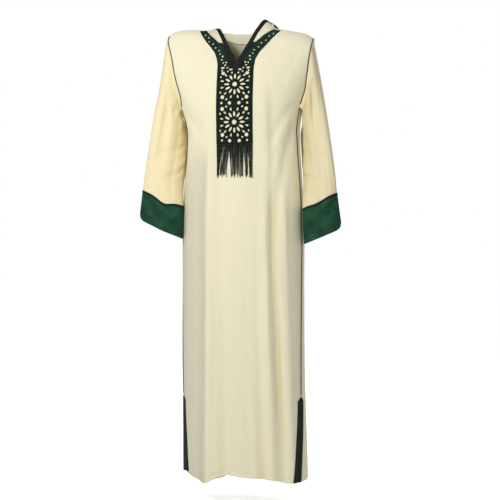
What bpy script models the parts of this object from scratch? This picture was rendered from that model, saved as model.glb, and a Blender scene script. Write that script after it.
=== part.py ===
"""Long hooded robe (djellaba) as worn: panels, sleeves, cuffs, hood and trims as thin closed solids.

Metres, +Z up, the front faces -Y, +X is the wearer's left. Z = 0 is the side neck point on the shoulder.
Surfaces come from section tables (body, sleeves, hood); trims are made from the surface they lie on.
"""

import functools
import math

import bmesh
import bpy
import numpy as np
from mathutils import Vector
from mathutils.geometry import delaunay_2d_cdt

for old in list(bpy.data.objects):
    bpy.data.objects.remove(old)

# ---------------------------------------------------------------- named sizes
CLOTH = 0.0015          # robe cloth wall
VELVET = 0.0020         # cuff wall
TRIM = 0.0010           # cutwork and slit band wall
SEAM = 0.0003           # gap between sewn pieces
LAY = 0.0010            # clearance of a trim over the panel it lies on
UNDERARM_Z = -0.245
NECK_X = 0.109          # half width of the neckline on the shoulder
RIDGE_ROUND = 0.045     # height over which the shoulder rounds over
ARMHOLE_ROUND = 0.070   # height over which the armhole turns under the arm
V_POINT_Z = -0.111
V_TOP = (0.034, -0.046)         # where the V edge meets the hood
TIP = (0.057, -0.043)           # lower front end of the neck seam
BACK_NECK_Z = -0.030
SLIT_TOP_Z = -1.137
SLIT_OPEN = (0.0010, 0.0030)    # half opening of a slit near its top and at the hem
SEAM_SPEED = 0.135              # metres of surface per radian of angle at the side seam
BINDING_W = 0.0125
BINDING_T = 0.0008
PIPING_R = 0.0014
BAND_W = 0.0145
BAND_POINT = 0.013
CUTWORK_HALF = 0.0560
CUTWORK_BOTTOM = -0.3640
CENTRE_X = -0.002      # middle line of the cutwork
FRINGE_LENGTH = 0.094
STRANDS = 27
STRAND_R = 0.0009

# body sections: height, half width, centre x, front depth, back depth, squareness
BODY = (
    (0.030, 0.290, 0.000, 0.048, 0.044, 2.6),
    (-0.030, 0.272, 0.000, 0.056, 0.068, 2.6),
    (-0.080, 0.252, 0.000, 0.078, 0.094, 2.6),
    (-0.130, 0.234, 0.001, 0.097, 0.110, 2.5),
    (-0.190, 0.209, 0.002, 0.113, 0.119, 2.4),
    (-0.245, 0.190, 0.004, 0.122, 0.117, 2.3),
    (-0.300, 0.177, 0.008, 0.121, 0.109, 2.3),
    (-0.380, 0.177, 0.009, 0.115, 0.101, 2.3),
    (-0.470, 0.184, 0.008, 0.114, 0.104, 2.3),
    (-0.600, 0.190, 0.008, 0.118, 0.117, 2.3),
    (-0.800, 0.190, 0.008, 0.120, 0.121, 2.3),
    (-1.100, 0.191, 0.010, 0.121, 0.122, 2.3),
    (-1.250, 0.194, 0.012, 0.122, 0.123, 2.3),
    (-1.420, 0.197, 0.014, 0.124, 0.125, 2.3),
)
# shoulder ridge: distance from the centre, height on the wearer's right, on the left
RIDGE = (
    (0.0000, 0.0120, 0.0120),
    (0.0600, 0.0110, 0.0110),
    (0.0800, 0.0088, 0.0088),
    (0.0950, 0.0065, 0.0065),
    (0.1040, 0.0050, 0.0050),
    (0.1090, 0.0040, 0.0040),
    (0.1140, 0.0036, 0.0030),
    (0.1350, 0.0064, -0.0005),
    (0.1720, 0.0070, -0.0075),
    (0.1980, 0.0042, -0.0135),
    (0.2150, -0.0020, -0.0205),
    (0.2265, -0.0120, -0.0290),
    (0.2900, -0.0700, -0.0600),
)
# side seam: height, angle forward of the side in degrees on the wearer's right, on the left
SIDE_SEAM = (
    (0.000, 16.0, 16.0),
    (-0.245, 13.0, 16.0),
    (-0.330, 6.0, 15.5),
    (-0.600, 1.5, 13.5),
    (-0.880, 4.0, 15.5),
    (-1.000, 9.0, 17.0),
    (-1.140, 18.0, 19.5),
    (-1.420, 25.0, 25.0),
)
# armhole edge: height, front edge on the wearer's right, on the wearer's left, back edge of both
ARMHOLE = (
    (-0.0110, 0.2262, 0.2280, 0.2270),
    (-0.0290, 0.2255, 0.2275, 0.2265),
    (-0.0600, 0.2170, 0.2235, 0.2190),
    (-0.0940, 0.2080, 0.2180, 0.2100),
    (-0.1500, 0.1970, 0.2110, 0.1990),
    (-0.1910, 0.1850, 0.2040, 0.1920),
    (-0.2190, 0.1750, 0.1955, 0.1860),
    (-0.2450, 0.1720, 0.1865, 0.1820),
)
# hem height of the front: column from -1 to 1, height; and of the back
FRONT_HEM = ((-1.0, -1.368), (-0.80, -1.384), (-0.62, -1.396), (-0.48, -1.394), (-0.34, -1.378), (-0.16, -1.367),
             (0.05, -1.373), (0.30, -1.377), (0.55, -1.382), (0.75, -1.393), (1.0, -1.394))
BACK_HEM = ((-1.0, -1.368), (-0.60, -1.384), (-0.20, -1.390), (0.25, -1.386), (0.65, -1.392), (1.0, -1.394))
FOLD_LEVELS = (-0.300, -0.850, -1.390)
# front folds: x at the three levels, height at the three levels, half width
FRONT_FOLDS = (
    (-0.125, -0.122, -0.126, -0.0020, -0.0040, -0.0060, 0.022),
    (-0.078, -0.083, -0.092, 0.0015, 0.0045, 0.0090, 0.020),
    (-0.046, -0.046, -0.044, 0.0000, -0.0035, -0.0070, 0.018),
    (0.010, 0.012, 0.016, 0.0000, 0.0010, 0.0020, 0.030),
    (0.058, 0.062, 0.086, 0.0000, -0.0030, -0.0070, 0.016),
    (0.090, 0.096, 0.112, 0.0010, 0.0030, 0.0050, 0.016),
    (0.112, 0.116, 0.138, -0.0030, -0.0050, -0.0045, 0.013),
    (0.150, 0.150, 0.160, 0.0010, 0.0020, 0.0030, 0.014),
)
BACK_FOLDS = (
    (-0.110, -0.112, -0.118, 0.0000, -0.0040, -0.0080, 0.020),
    (-0.060, -0.064, -0.070, 0.0010, 0.0040, 0.0090, 0.022),
    (-0.010, -0.012, -0.016, -0.0020, -0.0045, -0.0080, 0.020),
    (0.046, 0.044, 0.040, 0.0010, 0.0040, 0.0080, 0.022),
    (0.098, 0.100, 0.104, 0.0000, -0.0040, -0.0070, 0.020),
)
# sleeve rings: outer x, outer z, inner x, inner z, centre y, half depth, how far the inner edge lies back;
# the last row is the cuff end
SLEEVE_RIGHT = (
    (0.2265, -0.0120, 0.1780, -0.2450, 0.000, 0.062, 0.000),
    (0.2350, -0.0310, 0.1870, -0.2560, -0.001, 0.061, 0.004),
    (0.2440, -0.0880, 0.1895, -0.2710, -0.005, 0.057, 0.016),
    (0.2550, -0.1650, 0.1800, -0.2950, -0.011, 0.051, 0.034),
    (0.2690, -0.2400, 0.1730, -0.3300, -0.019, 0.045, 0.046),
    (0.2810, -0.3200, 0.1745, -0.3850, -0.029, 0.039, 0.040),
    (0.2920, -0.4100, 0.1785, -0.4600, -0.040, 0.035, 0.024),
    (0.2985, -0.4600, 0.1770, -0.5100, -0.046, 0.033, 0.010),
    (0.3020, -0.5000, 0.1738, -0.5500, -0.050, 0.032, 0.002),
    (0.3140, -0.5880, 0.1755, -0.6500, -0.052, 0.031, 0.000),
)
SLEEVE_LEFT = (
    (0.2280, -0.0290, 0.1870, -0.2450, 0.000, 0.062, 0.000),
    (0.2320, -0.0520, 0.1960, -0.2560, -0.001, 0.061, 0.000),
    (0.2410, -0.1000, 0.2020, -0.2710, -0.005, 0.057, 0.000),
    (0.2530, -0.1650, 0.1985, -0.2950, -0.011, 0.051, 0.018),
    (0.2660, -0.2400, 0.1865, -0.3300, -0.019, 0.045, 0.046),
    (0.2790, -0.3200, 0.1885, -0.3850, -0.029, 0.039, 0.046),
    (0.2925, -0.4100, 0.1960, -0.4600, -0.040, 0.035, 0.034),
    (0.3000, -0.4700, 0.1975, -0.5230, -0.046, 0.033, 0.018),
    (0.3040, -0.5130, 0.1985, -0.5610, -0.050, 0.032, 0.004),
    (0.3200, -0.6180, 0.2030, -0.6670, -0.052, 0.031, 0.000),
)
CUFF_SAG = (0.014, 0.005)       # how far the front of the cuff seam sags: right, left
CUFF_CORNER = (0.017, 0.004)    # how far the cuff's outer lower corner is rounded up and in
CUFF_ROW = 8
SLEEVE_FOLD = (0.15, -0.16)     # place across the sleeve and depth share of the long soft trough
# hood rows: place along the neck seam (0 = centre back, 1 = front tip), then x, y, z of rise = top of the
# stand, over = just past the roll, foot = bottom of the bag, edge = free bound edge
HOOD_LEFT = (
    (0.00, 0.0000, 0.0720, 0.0020, 0.000, 0.106, -0.030, 0.000, 0.150, -0.335, 0.000, 0.154, -0.088),
    (0.12, 0.0300, 0.0690, 0.0040, 0.035, 0.102, -0.022, 0.045, 0.144, -0.278, 0.048, 0.150, -0.079),
    (0.22, 0.0530, 0.0620, 0.0080, 0.064, 0.092, -0.008, 0.082, 0.127, -0.185, 0.088, 0.137, -0.064),
    (0.30, 0.0680, 0.0530, 0.0120, 0.081, 0.077, 0.003, 0.100, 0.104, -0.100, 0.107, 0.117, -0.044),
    (0.37, 0.0800, 0.0440, 0.0160, 0.092, 0.060, 0.011, 0.109, 0.081, -0.045, 0.117, 0.093, -0.017),
    (0.44, 0.0880, 0.0330, 0.0190, 0.098, 0.042, 0.021, 0.112, 0.057, 0.002, 0.118, 0.063, 0.013),
    (0.51, 0.0940, 0.0220, 0.0180, 0.098, 0.027, 0.025, 0.105, 0.034, 0.026, 0.107, 0.036, 0.035),
    (0.58, 0.1020, 0.0130, 0.0135, 0.097, 0.014, 0.023, 0.093, 0.015, 0.031, 0.090, 0.014, 0.037),
)
HOOD_RIGHT = (
    (0.00, 0.0000, 0.0720, 0.0020, 0.000, 0.106, -0.030, 0.000, 0.150, -0.335, 0.000, 0.154, -0.088),
    (0.12, 0.0300, 0.0690, 0.0030, 0.035, 0.102, -0.024, 0.045, 0.144, -0.278, 0.048, 0.150, -0.080),
    (0.22, 0.0530, 0.0620, 0.0050, 0.064, 0.093, -0.013, 0.082, 0.127, -0.185, 0.088, 0.137, -0.066),
    (0.30, 0.0690, 0.0540, 0.0060, 0.082, 0.079, -0.006, 0.101, 0.105, -0.104, 0.108, 0.118, -0.048),
    (0.37, 0.0820, 0.0450, 0.0060, 0.093, 0.062, -0.001, 0.111, 0.083, -0.052, 0.119, 0.094, -0.023),
    (0.44, 0.0920, 0.0360, 0.0050, 0.100, 0.046, 0.005, 0.112, 0.060, -0.010, 0.118, 0.066, 0.003),
    (0.51, 0.1015, 0.0265, 0.0055, 0.102, 0.030, 0.010, 0.103, 0.033, 0.014, 0.104, 0.035, 0.018),
    (0.58, 0.1040, 0.0130, 0.0060, 0.100, 0.014, 0.008, 0.094, 0.015, 0.012, 0.089, 0.014, 0.015),
)
# hood front, where the cloth stands flat: place, x, y, z of the bound edge on the left; x, y, z on the right
HOOD_FRONT = (
    (0.66, 0.0800, 0.002, 0.0330, 0.0740, 0.002, 0.0095),
    (0.83, 0.0560, -0.036, 0.0010, 0.0520, -0.036, -0.0130),
    (1.00, 0.0342, -0.0622, -0.0452, 0.0342, -0.0622, -0.0452),
)
HOOD_CORNER = 0.66      # place where the neck seam crosses the shoulder
# cutwork of one rosette, millimetres from its centre: kind, x, z, half length, half width
ROSETTE_PETAL = (16.5, 32.5, 3.4)       # 12 petals: from, to, half width
ROSETTE_DROP = (34.5, 45.0, 3.7)        # 12 drops between the petals
ROSETTE_EYE = 7.3
ROSETTES_Z = (-0.1820, -0.2978)
# single holes, millimetres from the upper rosette's centre, mirrored: x, z, radius across, radius up
HOLES = (
    (39.0, 52.0, 6.0, 3.2), (40.5, 43.2, 3.0, 3.0), (14.0, 46.6, 5.6, 3.0), (24.5, 51.8, 2.7, 2.7),
    (32.0, 60.5, 3.0, 3.0), (29.5, 69.5, 3.4, 2.6), (22.5, 40.5, 2.5, 2.5),
    (37.0, 34.6, 5.8, 5.4), (43.6, 23.0, 2.6, 3.4),
    (43.6, -25.5, 2.6, 3.4), (37.0, -40.0, 5.8, 6.2), (24.6, -46.8, 3.2, 3.2),
    (14.6, -57.9, 5.2, 5.4), (39.5, -57.9, 3.3, 3.8), (24.6, -69.0, 3.2, 3.2),
    (37.0, -75.8, 5.8, 6.2), (43.6, -90.3, 2.6, 3.4),
    (43.6, -141.3, 2.6, 3.4), (37.0, -153.8, 5.8, 6.0), (24.2, -160.6, 3.2, 2.8),
    (14.8, -171.8, 5.2, 5.2), (38.6, -170.4, 3.2, 4.0),
    (38.5, 68.5, 2.6, 2.6), (44.0, 78.5, 2.8, 2.8), (42.0, 89.5, 3.2, 2.8), (50.5, 97.5, 2.4, 2.4),
    (54.5, 109.0, 2.6, 2.6), (66.5, 118.5, 2.4, 2.4), (75.0, 131.5, 2.6, 2.6), (88.0, 140.5, 2.4, 2.4),
    (97.5, 153.5, 2.6, 2.6), (109.5, 162.5, 2.4, 2.4),
)
IVORY, SLEEVE_IVORY = (0.80, 0.74, 0.55), (0.82, 0.74, 0.50)
GREEN, DARK_GREEN, NEAR_BLACK = (0.012, 0.100, 0.045), (0.006, 0.030, 0.018), (0.004, 0.010, 0.008)


# ---------------------------------------------------------------- helpers
@functools.lru_cache(maxsize=None)
def table_column(table, column):
    rows = np.array(sorted(table), dtype=float)
    keys, values = rows[:, 0], rows[:, column]
    return keys, values, np.gradient(values, keys)


def curve(table, column, at):
    """Smooth value of a table column; the first column is the key."""
    keys, values, slopes = table_column(table, column)
    at = np.clip(np.asarray(at, dtype=float), keys[0], keys[-1])
    left = np.clip(np.searchsorted(keys, at, side="right") - 1, 0, len(keys) - 2)
    span = keys[left + 1] - keys[left]
    t = (at - keys[left]) / span
    return ((2 * t**3 - 3 * t**2 + 1) * values[left] + (t**3 - 2 * t**2 + t) * span * slopes[left]
            + (-2 * t**3 + 3 * t**2) * values[left + 1] + (t**3 - t**2) * span * slopes[left + 1])


def unit(vectors):
    return vectors / np.maximum(np.linalg.norm(vectors, axis=-1, keepdims=True), 1e-12)


def ease(t):
    t = np.clip(t, 0.0, 1.0)
    return t * t * (3 - 2 * t)


def grid_normals(grid, closed=False):
    """Normals of a grid of points (rows, columns, xyz), columns cross rows."""
    if closed:
        along = np.roll(grid, -1, 1) - np.roll(grid, 1, 1)
    else:
        along = np.gradient(grid, axis=1)
    return unit(np.cross(along, np.gradient(grid, axis=0)))


def material(name, colour, roughness):
    made = bpy.data.materials.new(name)
    made.use_nodes = True
    shader = made.node_tree.nodes["Principled BSDF"]
    shader.inputs["Base Color"].default_value = (*colour, 1.0)
    shader.inputs["Roughness"].default_value = roughness
    return made


def solid(name, points, faces, colour, roughness=0.85):
    """One closed body from points and faces, facing out."""
    work = bmesh.new()
    made = [work.verts.new(Vector(p)) for p in points]
    for face in faces:
        work.faces.new([made[i] for i in face])
    bmesh.ops.recalc_face_normals(work, faces=work.faces)
    if work.calc_volume(signed=True) < 0:
        bmesh.ops.reverse_faces(work, faces=work.faces)
    mesh = bpy.data.meshes.new(name)
    work.to_mesh(mesh)
    work.free()
    body = bpy.data.objects.new(name, mesh)
    mesh.materials.append(material(name + "_mat", colour, roughness))
    bpy.context.scene.collection.objects.link(body)
    return body


def wall(name, outer, normals, thick, colour, closed=False, roughness=0.85):
    """A sheet of the given thickness under a grid of outer points; rims closed."""
    rows, columns = outer.shape[:2]
    inner = outer - normals * thick
    points = np.concatenate([outer.reshape(-1, 3), inner.reshape(-1, 3)])
    shift = rows * columns

    def at(r, c):
        return r * columns + c % columns

    faces = []
    for r in range(rows - 1):
        for c in range(columns if closed else columns - 1):
            a, b, d, e = at(r, c), at(r, c + 1), at(r + 1, c + 1), at(r + 1, c)
            if np.linalg.norm(points[a] - points[d]) <= np.linalg.norm(points[b] - points[e]):
                halves = ((a, b, d), (a, d, e))
            else:
                halves = ((a, b, e), (b, d, e))
            for half in halves:
                faces.append(half)
                faces.append(tuple(i + shift for i in reversed(half)))
    rim = [[at(0, c) for c in range(columns)], [at(rows - 1, c) for c in range(columns)]]
    if closed:
        rim = [line + line[:1] for line in rim]
    else:
        rim += [[at(r, 0) for r in range(rows)], [at(r, columns - 1) for r in range(rows)]]
    for line in rim:
        for p, q in zip(line[:-1], line[1:]):
            faces.append((p, q, q + shift, p + shift))
    return solid(name, points, faces, colour, roughness)


def tube(name, path, normals, radius, colour, sides=5, lift=0.0):
    """A round cord along a path, moved out along the normals."""
    tangents = unit(np.gradient(path, axis=0))
    out = unit(normals - tangents * np.sum(normals * tangents, axis=1, keepdims=True))
    across = np.cross(tangents, out)
    centre = path + out * (radius + lift)
    rings = []
    for k in range(sides):
        angle = 2 * math.pi * k / sides + math.pi / sides
        rings.append(centre + out * radius * math.cos(angle) + across * radius * math.sin(angle))
    points = np.stack(rings, axis=1)
    rows = len(path)
    faces = []
    for r in range(rows - 1):
        for k in range(sides):
            n = (k + 1) % sides
            faces.append((r * sides + k, r * sides + n, (r + 1) * sides + n, (r + 1) * sides + k))
    faces.append(tuple(range(sides)))
    faces.append(tuple((rows - 1) * sides + k for k in range(sides)))
    return solid(name, points.reshape(-1, 3), faces, colour)


# ---------------------------------------------------------------- body surface
def ridge(x):
    return np.where(np.asarray(x) < 0, curve(RIDGE, 1, np.abs(x)), curve(RIDGE, 2, np.abs(x)))


def fold_height(folds, x, z):
    """Height of the folds at x, z: soft crests and troughs that fade in down the skirt."""
    total = np.zeros(np.broadcast(x, z).shape)
    fade = ease((-0.14 - z) / 0.16)
    for xa, xb, xc, ha, hb, hc, half in folds:
        level = np.array(FOLD_LEVELS[::-1])
        centre = np.interp(z, level, (xc, xb, xa))
        height = np.interp(z, level, (hc, hb, ha))
        total = total + height * np.exp(-(((x - centre) / half) ** 2))
    return total * fade


def section(z):
    """Half width, centre, front depth, back depth and squareness at height z."""
    return [curve(BODY, column, z) for column in range(1, 6)]


def skin(face, turn, z):
    """Point of the body at an angle from the middle of the front (face -1) or back (face +1)."""
    half, centre, front, back, square = section(z)
    q = np.sin(turn)
    ahead = -face * np.cos(turn) >= 0
    w = (1 - np.minimum(np.abs(q), 0.99999) ** square) ** (1 / square)
    x = centre + half * q
    drop = np.clip((ridge(x) - z) / RIDGE_ROUND, 0.0, 1.0)
    depth = np.where(ahead, front, back)
    toward = np.where(ahead, -1.0, 1.0)
    y = toward * depth * w * np.sqrt(1 - (1 - drop) ** 2)
    out = unit(np.stack([np.sign(q) * np.abs(q) ** (square - 1) / half, toward * w ** (square - 1) / depth], -1))
    folds = np.where(ahead, fold_height(FRONT_FOLDS, x, z), fold_height(BACK_FOLDS, x, z))
    return np.stack([x + out[..., 0] * folds, y + out[..., 1] * folds, z + 0 * x], axis=-1)


def skin_x(face, x, z):
    """Point of the front or back surface at x and height z."""
    half, centre = section(z)[:2]
    return skin(face, np.arcsin(np.clip((x - centre) / half, -0.9999, 0.9999)), z)


def skin_x_normal(face, x, z):
    step = 0.003
    across = skin_x(face, x + step, z) - skin_x(face, x - step, z)
    up = skin_x(face, x, z + step) - skin_x(face, x, z - step)
    return unit(np.cross(across, up)) * -face


def skin_out(face, turn, z):
    """Outward normal of the body at an angle and height."""
    across = skin(face, turn + 0.02, z) - skin(face, turn - 0.02, z)
    up = skin(face, turn, z + 0.002) - skin(face, turn, z - 0.002)
    return unit(np.cross(across, up)) * -face


def edge_turn(face, side, z):
    """Angle of a panel's side edge: the side seam below the underarm, the armhole above it."""
    half, centre, _, _, square = section(z)
    lean = np.radians(curve(SIDE_SEAM, 2 if side > 0 else 1, z))
    seam = np.arcsin(np.cos(lean) ** (2 / square))
    if face > 0:
        seam = np.pi - seam
    below = np.clip((SLIT_TOP_Z - z) / 0.25, 0.0, 1.0)
    seam = seam - (SLIT_OPEN[0] + (SLIT_OPEN[1] - SLIT_OPEN[0]) * below) * (z < SLIT_TOP_Z) / SEAM_SPEED
    column = 3 if face > 0 else (2 if side > 0 else 1)
    arm = np.arcsin(np.clip((side * curve(ARMHOLE, column, z) - centre) * side / half, -1, 1))
    rise = np.clip((z - UNDERARM_Z) / ARMHOLE_ROUND, 0.0, 1.0)
    return seam + (arm - seam) * np.sqrt(rise * (2 - rise))


def column_turn(face, c, z):
    """Angle of column c at height z: -1 and 1 are the side edges, 0 the middle."""
    turn = np.zeros(np.broadcast(c, z).shape)
    for side in (-1, 1):
        edge = edge_turn(face, side, z)
        calm = edge_turn(face, side, np.minimum(z, UNDERARM_Z))
        high = edge_turn(face, side, np.maximum(z, UNDERARM_Z + ARMHOLE_ROUND))
        calm = calm + (high - calm) * ease((z - UNDERARM_Z + 0.05) / 0.17)
        reach = np.clip(c * side, 0, 1)
        turn = turn + side * (calm * reach + (edge - calm) * reach**5)
    return turn


def column_x(face, c, z):
    half, centre = section(z)[:2]
    return centre + half * np.sin(column_turn(face, c, z))


def top_z(face, x):
    """Top edge of a panel: neckline inside NECK_X, shoulder ridge beyond."""
    reach = np.abs(x)
    if face < 0:
        line = np.interp(reach, (0.0, V_TOP[0], TIP[0], NECK_X), (V_POINT_Z, V_TOP[1], TIP[1], ridge(NECK_X)))
    else:
        line = BACK_NECK_Z + (ridge(NECK_X) - BACK_NECK_Z) * (reach / NECK_X) ** 2
    return np.where(reach < NECK_X, line, ridge(x))


def column_top(face, c):
    z = np.full(np.shape(c), -0.03)
    for _ in range(20):
        z = 0.4 * z + 0.6 * top_z(face, column_x(face, c, z))
    return z


def column_of(face, x):
    """The column whose top end stands at x."""
    low, high = -1.0, 1.0
    for _ in range(22):
        middle = np.array([0.5 * (low + high)])
        if column_x(face, middle, column_top(face, middle))[0] < x:
            low = middle[0]
        else:
            high = middle[0]
    return 0.5 * (low + high)


# ---------------------------------------------------------------- front and back panels
def between(marks, counts):
    """Values through all marks with the given number of steps between neighbours."""
    line = [marks[0]]
    for a, b, n in zip(marks[:-1], marks[1:], counts):
        line += [a + (b - a) * k / n for k in range(1, n + 1)]
    return np.array(line)


def panel_grid(face, columns, hem, lower=14, upper=12):
    """Outer points of a panel, rows from the hem up, columns from the wearer's right to left."""
    tops = column_top(face, columns)
    foot = np.array([np.interp(c, *zip(*hem)) for c in columns])
    rows = []
    for k in range(lower):
        rows.append(foot + (UNDERARM_Z - foot) * (k / lower) ** 0.95)
    for k in range(upper + 1):
        rows.append(UNDERARM_Z + (tops - UNDERARM_Z) * (1 - math.cos(math.pi * k / upper)) / 2)
    z = np.array(rows)
    c = np.broadcast_to(columns, z.shape)
    turn = column_turn(face, c, z)
    return skin(face, turn, z), z


def shrink_edges(grid, gap):
    """Pull all four edges of a grid in by a seam gap."""
    made = grid.copy()
    for edge, inner in ((0, 1), (-1, -2)):
        made[:, edge] += unit(grid[:, inner] - grid[:, edge]) * gap
    made[-1] += unit(grid[-2] - grid[-1]) * gap
    return made


V_COLUMNS = [column_of(-1, x) for x in (-NECK_X, -TIP[0], -V_TOP[0], 0.0, V_TOP[0], TIP[0], NECK_X)]
FRONT_COLUMNS = between([-1.0, *V_COLUMNS, 1.0], (5, 2, 1, 2, 2, 1, 2, 5))
NECK_COLUMNS = [column_of(1, x) for x in (-NECK_X, 0.0, NECK_X)]
BACK_COLUMNS = between([-1.0, *NECK_COLUMNS, 1.0], (6, 4, 4, 6))
front, front_z = panel_grid(-1, FRONT_COLUMNS, FRONT_HEM)
back, back_z = panel_grid(1, BACK_COLUMNS, BACK_HEM)
front_out, back_out = grid_normals(front), -grid_normals(back)


# ---------------------------------------------------------------- sleeves
SLEEVES = {side: tuple((k, *values) for k, values in enumerate(table))
           for side, table in ((-1, SLEEVE_RIGHT), (1, SLEEVE_LEFT))}


def armhole(side, angle):
    """Armhole loop: 0 at the shoulder, pi under the arm, the front between them."""
    loops = []
    for face in (-1, 1):
        top = column_top(face, np.array([float(side)]))[0]
        z = UNDERARM_Z + (top - UNDERARM_Z) * (1 + np.cos(angle)) / 2
        loops.append(skin(face, side * edge_turn(face, side, z), z))
    return np.where((np.sin(angle) >= -1e-9)[..., None], *loops)


def ring_shape(side, row, angle):
    """Flattened tube around the table's outer and inner points."""
    outer_x, outer_z, inner_x, inner_z, centre_y, deep, back_lean = [curve(SLEEVES[side], k, row) for k in range(1, 8)]
    along, swing = np.cos(angle), np.sin(angle)
    fold = 1 + SLEEVE_FOLD[1] * np.exp(-(((along - SLEEVE_FOLD[0]) / 0.22) ** 2)) * np.clip(row / 4, 0, 1)
    corner = np.exp(-(1 - along) / 0.09) * ease((row - CUFF_ROW) / (9 - CUFF_ROW))
    sag = (CUFF_SAG[0] if side < 0 else CUFF_SAG[1]) * np.clip(swing, 0, 1)
    sag = sag * np.exp(-(((along + 0.15) / 0.45) ** 2)) * np.exp(-(((row - CUFF_ROW) / 0.7) ** 2))
    return np.stack([
        side * ((outer_x + inner_x) / 2 + (outer_x - inner_x) / 2 * along - CUFF_CORNER[1] * corner),
        centre_y - deep * np.sign(swing) * np.abs(swing) ** 0.9 * fold + back_lean * (1 - along) / 2,
        (outer_z + inner_z) / 2 + (outer_z - inner_z) / 2 * along + CUFF_CORNER[0] * corner - sag], axis=-1)


def sleeve_point(side, row, angle):
    """Point of the sleeve at a fractional ring row (0 = armhole, 9 = cuff end)."""
    row, angle = np.broadcast_arrays(np.asarray(row, dtype=float), np.asarray(angle, dtype=float))
    fade = (1 - ease(row / 3.5))[..., None]
    return ring_shape(side, row, angle) + (armhole(side, angle) - ring_shape(side, 0 * row, angle)) * fade


def sleeve_grid(side, rows, around=24):
    """Outer points of a sleeve and the normals that point out of it."""
    angles = 2 * np.pi * np.arange(around) / around
    grid = sleeve_point(side, np.array(rows)[:, None], angles[None, :])
    return grid, grid_normals(grid, closed=True) * side


def share_normals(own, other):
    """Both walls of a seam lean to the middle, so their inner rims stay apart."""
    toward = np.clip((np.sum(own * other, axis=-1, keepdims=True) + 0.1) / 0.6, 0.0, 1.0)
    return unit(own + other * toward), unit(other + own * toward)


SLEEVE_ROWS = (0.0, 0.6, 1.2, 1.9, 2.6, 3.4, 4.2, 5.1, 6.0, 6.8, 7.4, CUFF_ROW)
UPPER = 12
sleeves = {}
for side in (-1, 1):
    grid, out = sleeve_grid(side, SLEEVE_ROWS)
    edge = 0 if side < 0 else -1
    ring = out[0].copy()
    for k in range(UPPER + 1):
        row = len(front) - 1 - k
        front_out[row, edge], made = share_normals(front_out[row, edge], ring[k])
        back_out[row, edge], made_back = share_normals(back_out[row, edge], ring[(24 - k) % 24])
        out[0, k] = made
        out[0, (24 - k) % 24] = made_back if 0 < k < UPPER else unit(made + made_back)
    out[0, UPPER] = unit(out[0, UPPER - 1] + out[0, UPPER] + out[0, UPPER + 1])
    grid[0] += unit(grid[1] - grid[0]) * 0.0009
    sleeves[side] = (grid, out)

# ---------------------------------------------------------------- cloth solids
for edge, inner in ((0, 1), (-1, -2)):
    front_out[:-UPPER - 1, edge] = back_out[:-UPPER - 1, edge] = unit(
        front_out[:-UPPER - 1, edge] + back_out[:-UPPER - 1, edge])
shoulder = np.abs(front[-1, :, 0]) > NECK_X - 0.001
front_out[-1, shoulder] = unit(front_out[-1, shoulder] * (1, 0, 1))
shoulder = np.abs(back[-1, :, 0]) > NECK_X - 0.001
back_out[-1, shoulder] = unit(back_out[-1, shoulder] * (1, 0, 1))
wall("front_panel", shrink_edges(front, SEAM), front_out, CLOTH, IVORY)
wall("back_panel", shrink_edges(back, SEAM), back_out, CLOTH, IVORY)
for side, name in ((-1, "right"), (1, "left")):
    grid, out = sleeves[side]
    wall("sleeve_" + name, grid, out, CLOTH, SLEEVE_IVORY, closed=True)
    cuff, cuff_out = sleeve_grid(side, (CUFF_ROW + 0.02, CUFF_ROW + 0.6, CUFF_ROW + 1.0))
    wall("cuff_" + name, cuff, cuff_out, VELVET, GREEN, closed=True)


# ---------------------------------------------------------------- hood
def neck_seam(side, t):
    """Seam of the hood at place t: round the back neckline, then down the front one."""
    if t <= HOOD_CORNER:
        x = NECK_X * math.sin(math.pi / 2 * t / HOOD_CORNER)
        return skin_x(1, side * x, top_z(1, np.array(x)))
    x = NECK_X + (TIP[0] - NECK_X) * (t - HOOD_CORNER) / (1 - HOOD_CORNER)
    return skin_x(-1, side * x, top_z(-1, np.array(x)))


def hood_stations(side, t):
    """Points down one row of the hood: seam, rise, over, foot, edge; and how flat the row is."""
    table, first = (HOOD_LEFT, 1) if side > 0 else (HOOD_RIGHT, 4)
    edges = tuple((row[0], *row[10:13]) for row in table)
    edges += tuple((row[0], *row[first:first + 3]) for row in HOOD_FRONT)
    edge = np.array([curve(edges, k, t) for k in (1, 2, 3)])
    seam = neck_seam(side, t) * (side, 1, 1)
    flat = float(ease((t - 0.50) / 0.08))
    rows = []
    for share, column in ((0.30, 1), (0.58, 4), (0.80, 7)):
        bag = np.array([curve(table, column + k, t) for k in range(3)])
        rows.append(bag * (1 - flat) + (seam * (1 - share) + edge * share) * flat)
    seam = seam + unit(rows[0] - seam) * 0.0006 + (0.0, 0.0, 0.0003 if side > 0 else 0.0010)
    return np.array([seam, *rows, edge]) * (side, 1, 1), flat


def hood_row(side, t, count):
    """Row of the hood with the bag's foot rounded."""
    (seam, rise, over, foot, edge), flat = hood_stations(side, t)
    reach = np.linalg.norm(edge - foot)
    spread = unit(over - edge) * 0.008 * (1 - flat) * min(1.0, reach / 0.10)
    hook = min(max(0.016 / reach, 0.12), 0.45)
    stations = np.array([seam, rise, over, foot + 0.14 * (over - foot) + spread, foot,
                         foot + hook * (edge - foot) - spread, edge])
    lengths = np.concatenate([[0], np.cumsum(np.linalg.norm(np.diff(stations, axis=0), axis=1))])
    steps = np.interp(np.linspace(0, 1, count), np.linspace(0, 1, 14),
                      (0.0, 0.5, 1.0, 1.5, 2.0, 2.4, 2.8, 3.3, 3.7, 4.2, 4.7, 5.2, 5.6, 6.0))
    wanted = np.interp(steps, range(7), lengths)
    wanted[-2] = max(wanted[-2], lengths[-1] - BINDING_W)
    table = tuple((float(d), *map(float, p)) for d, p in zip(lengths, stations))
    return np.stack([curve(table, k, wanted) for k in (1, 2, 3)], axis=-1)


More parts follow.
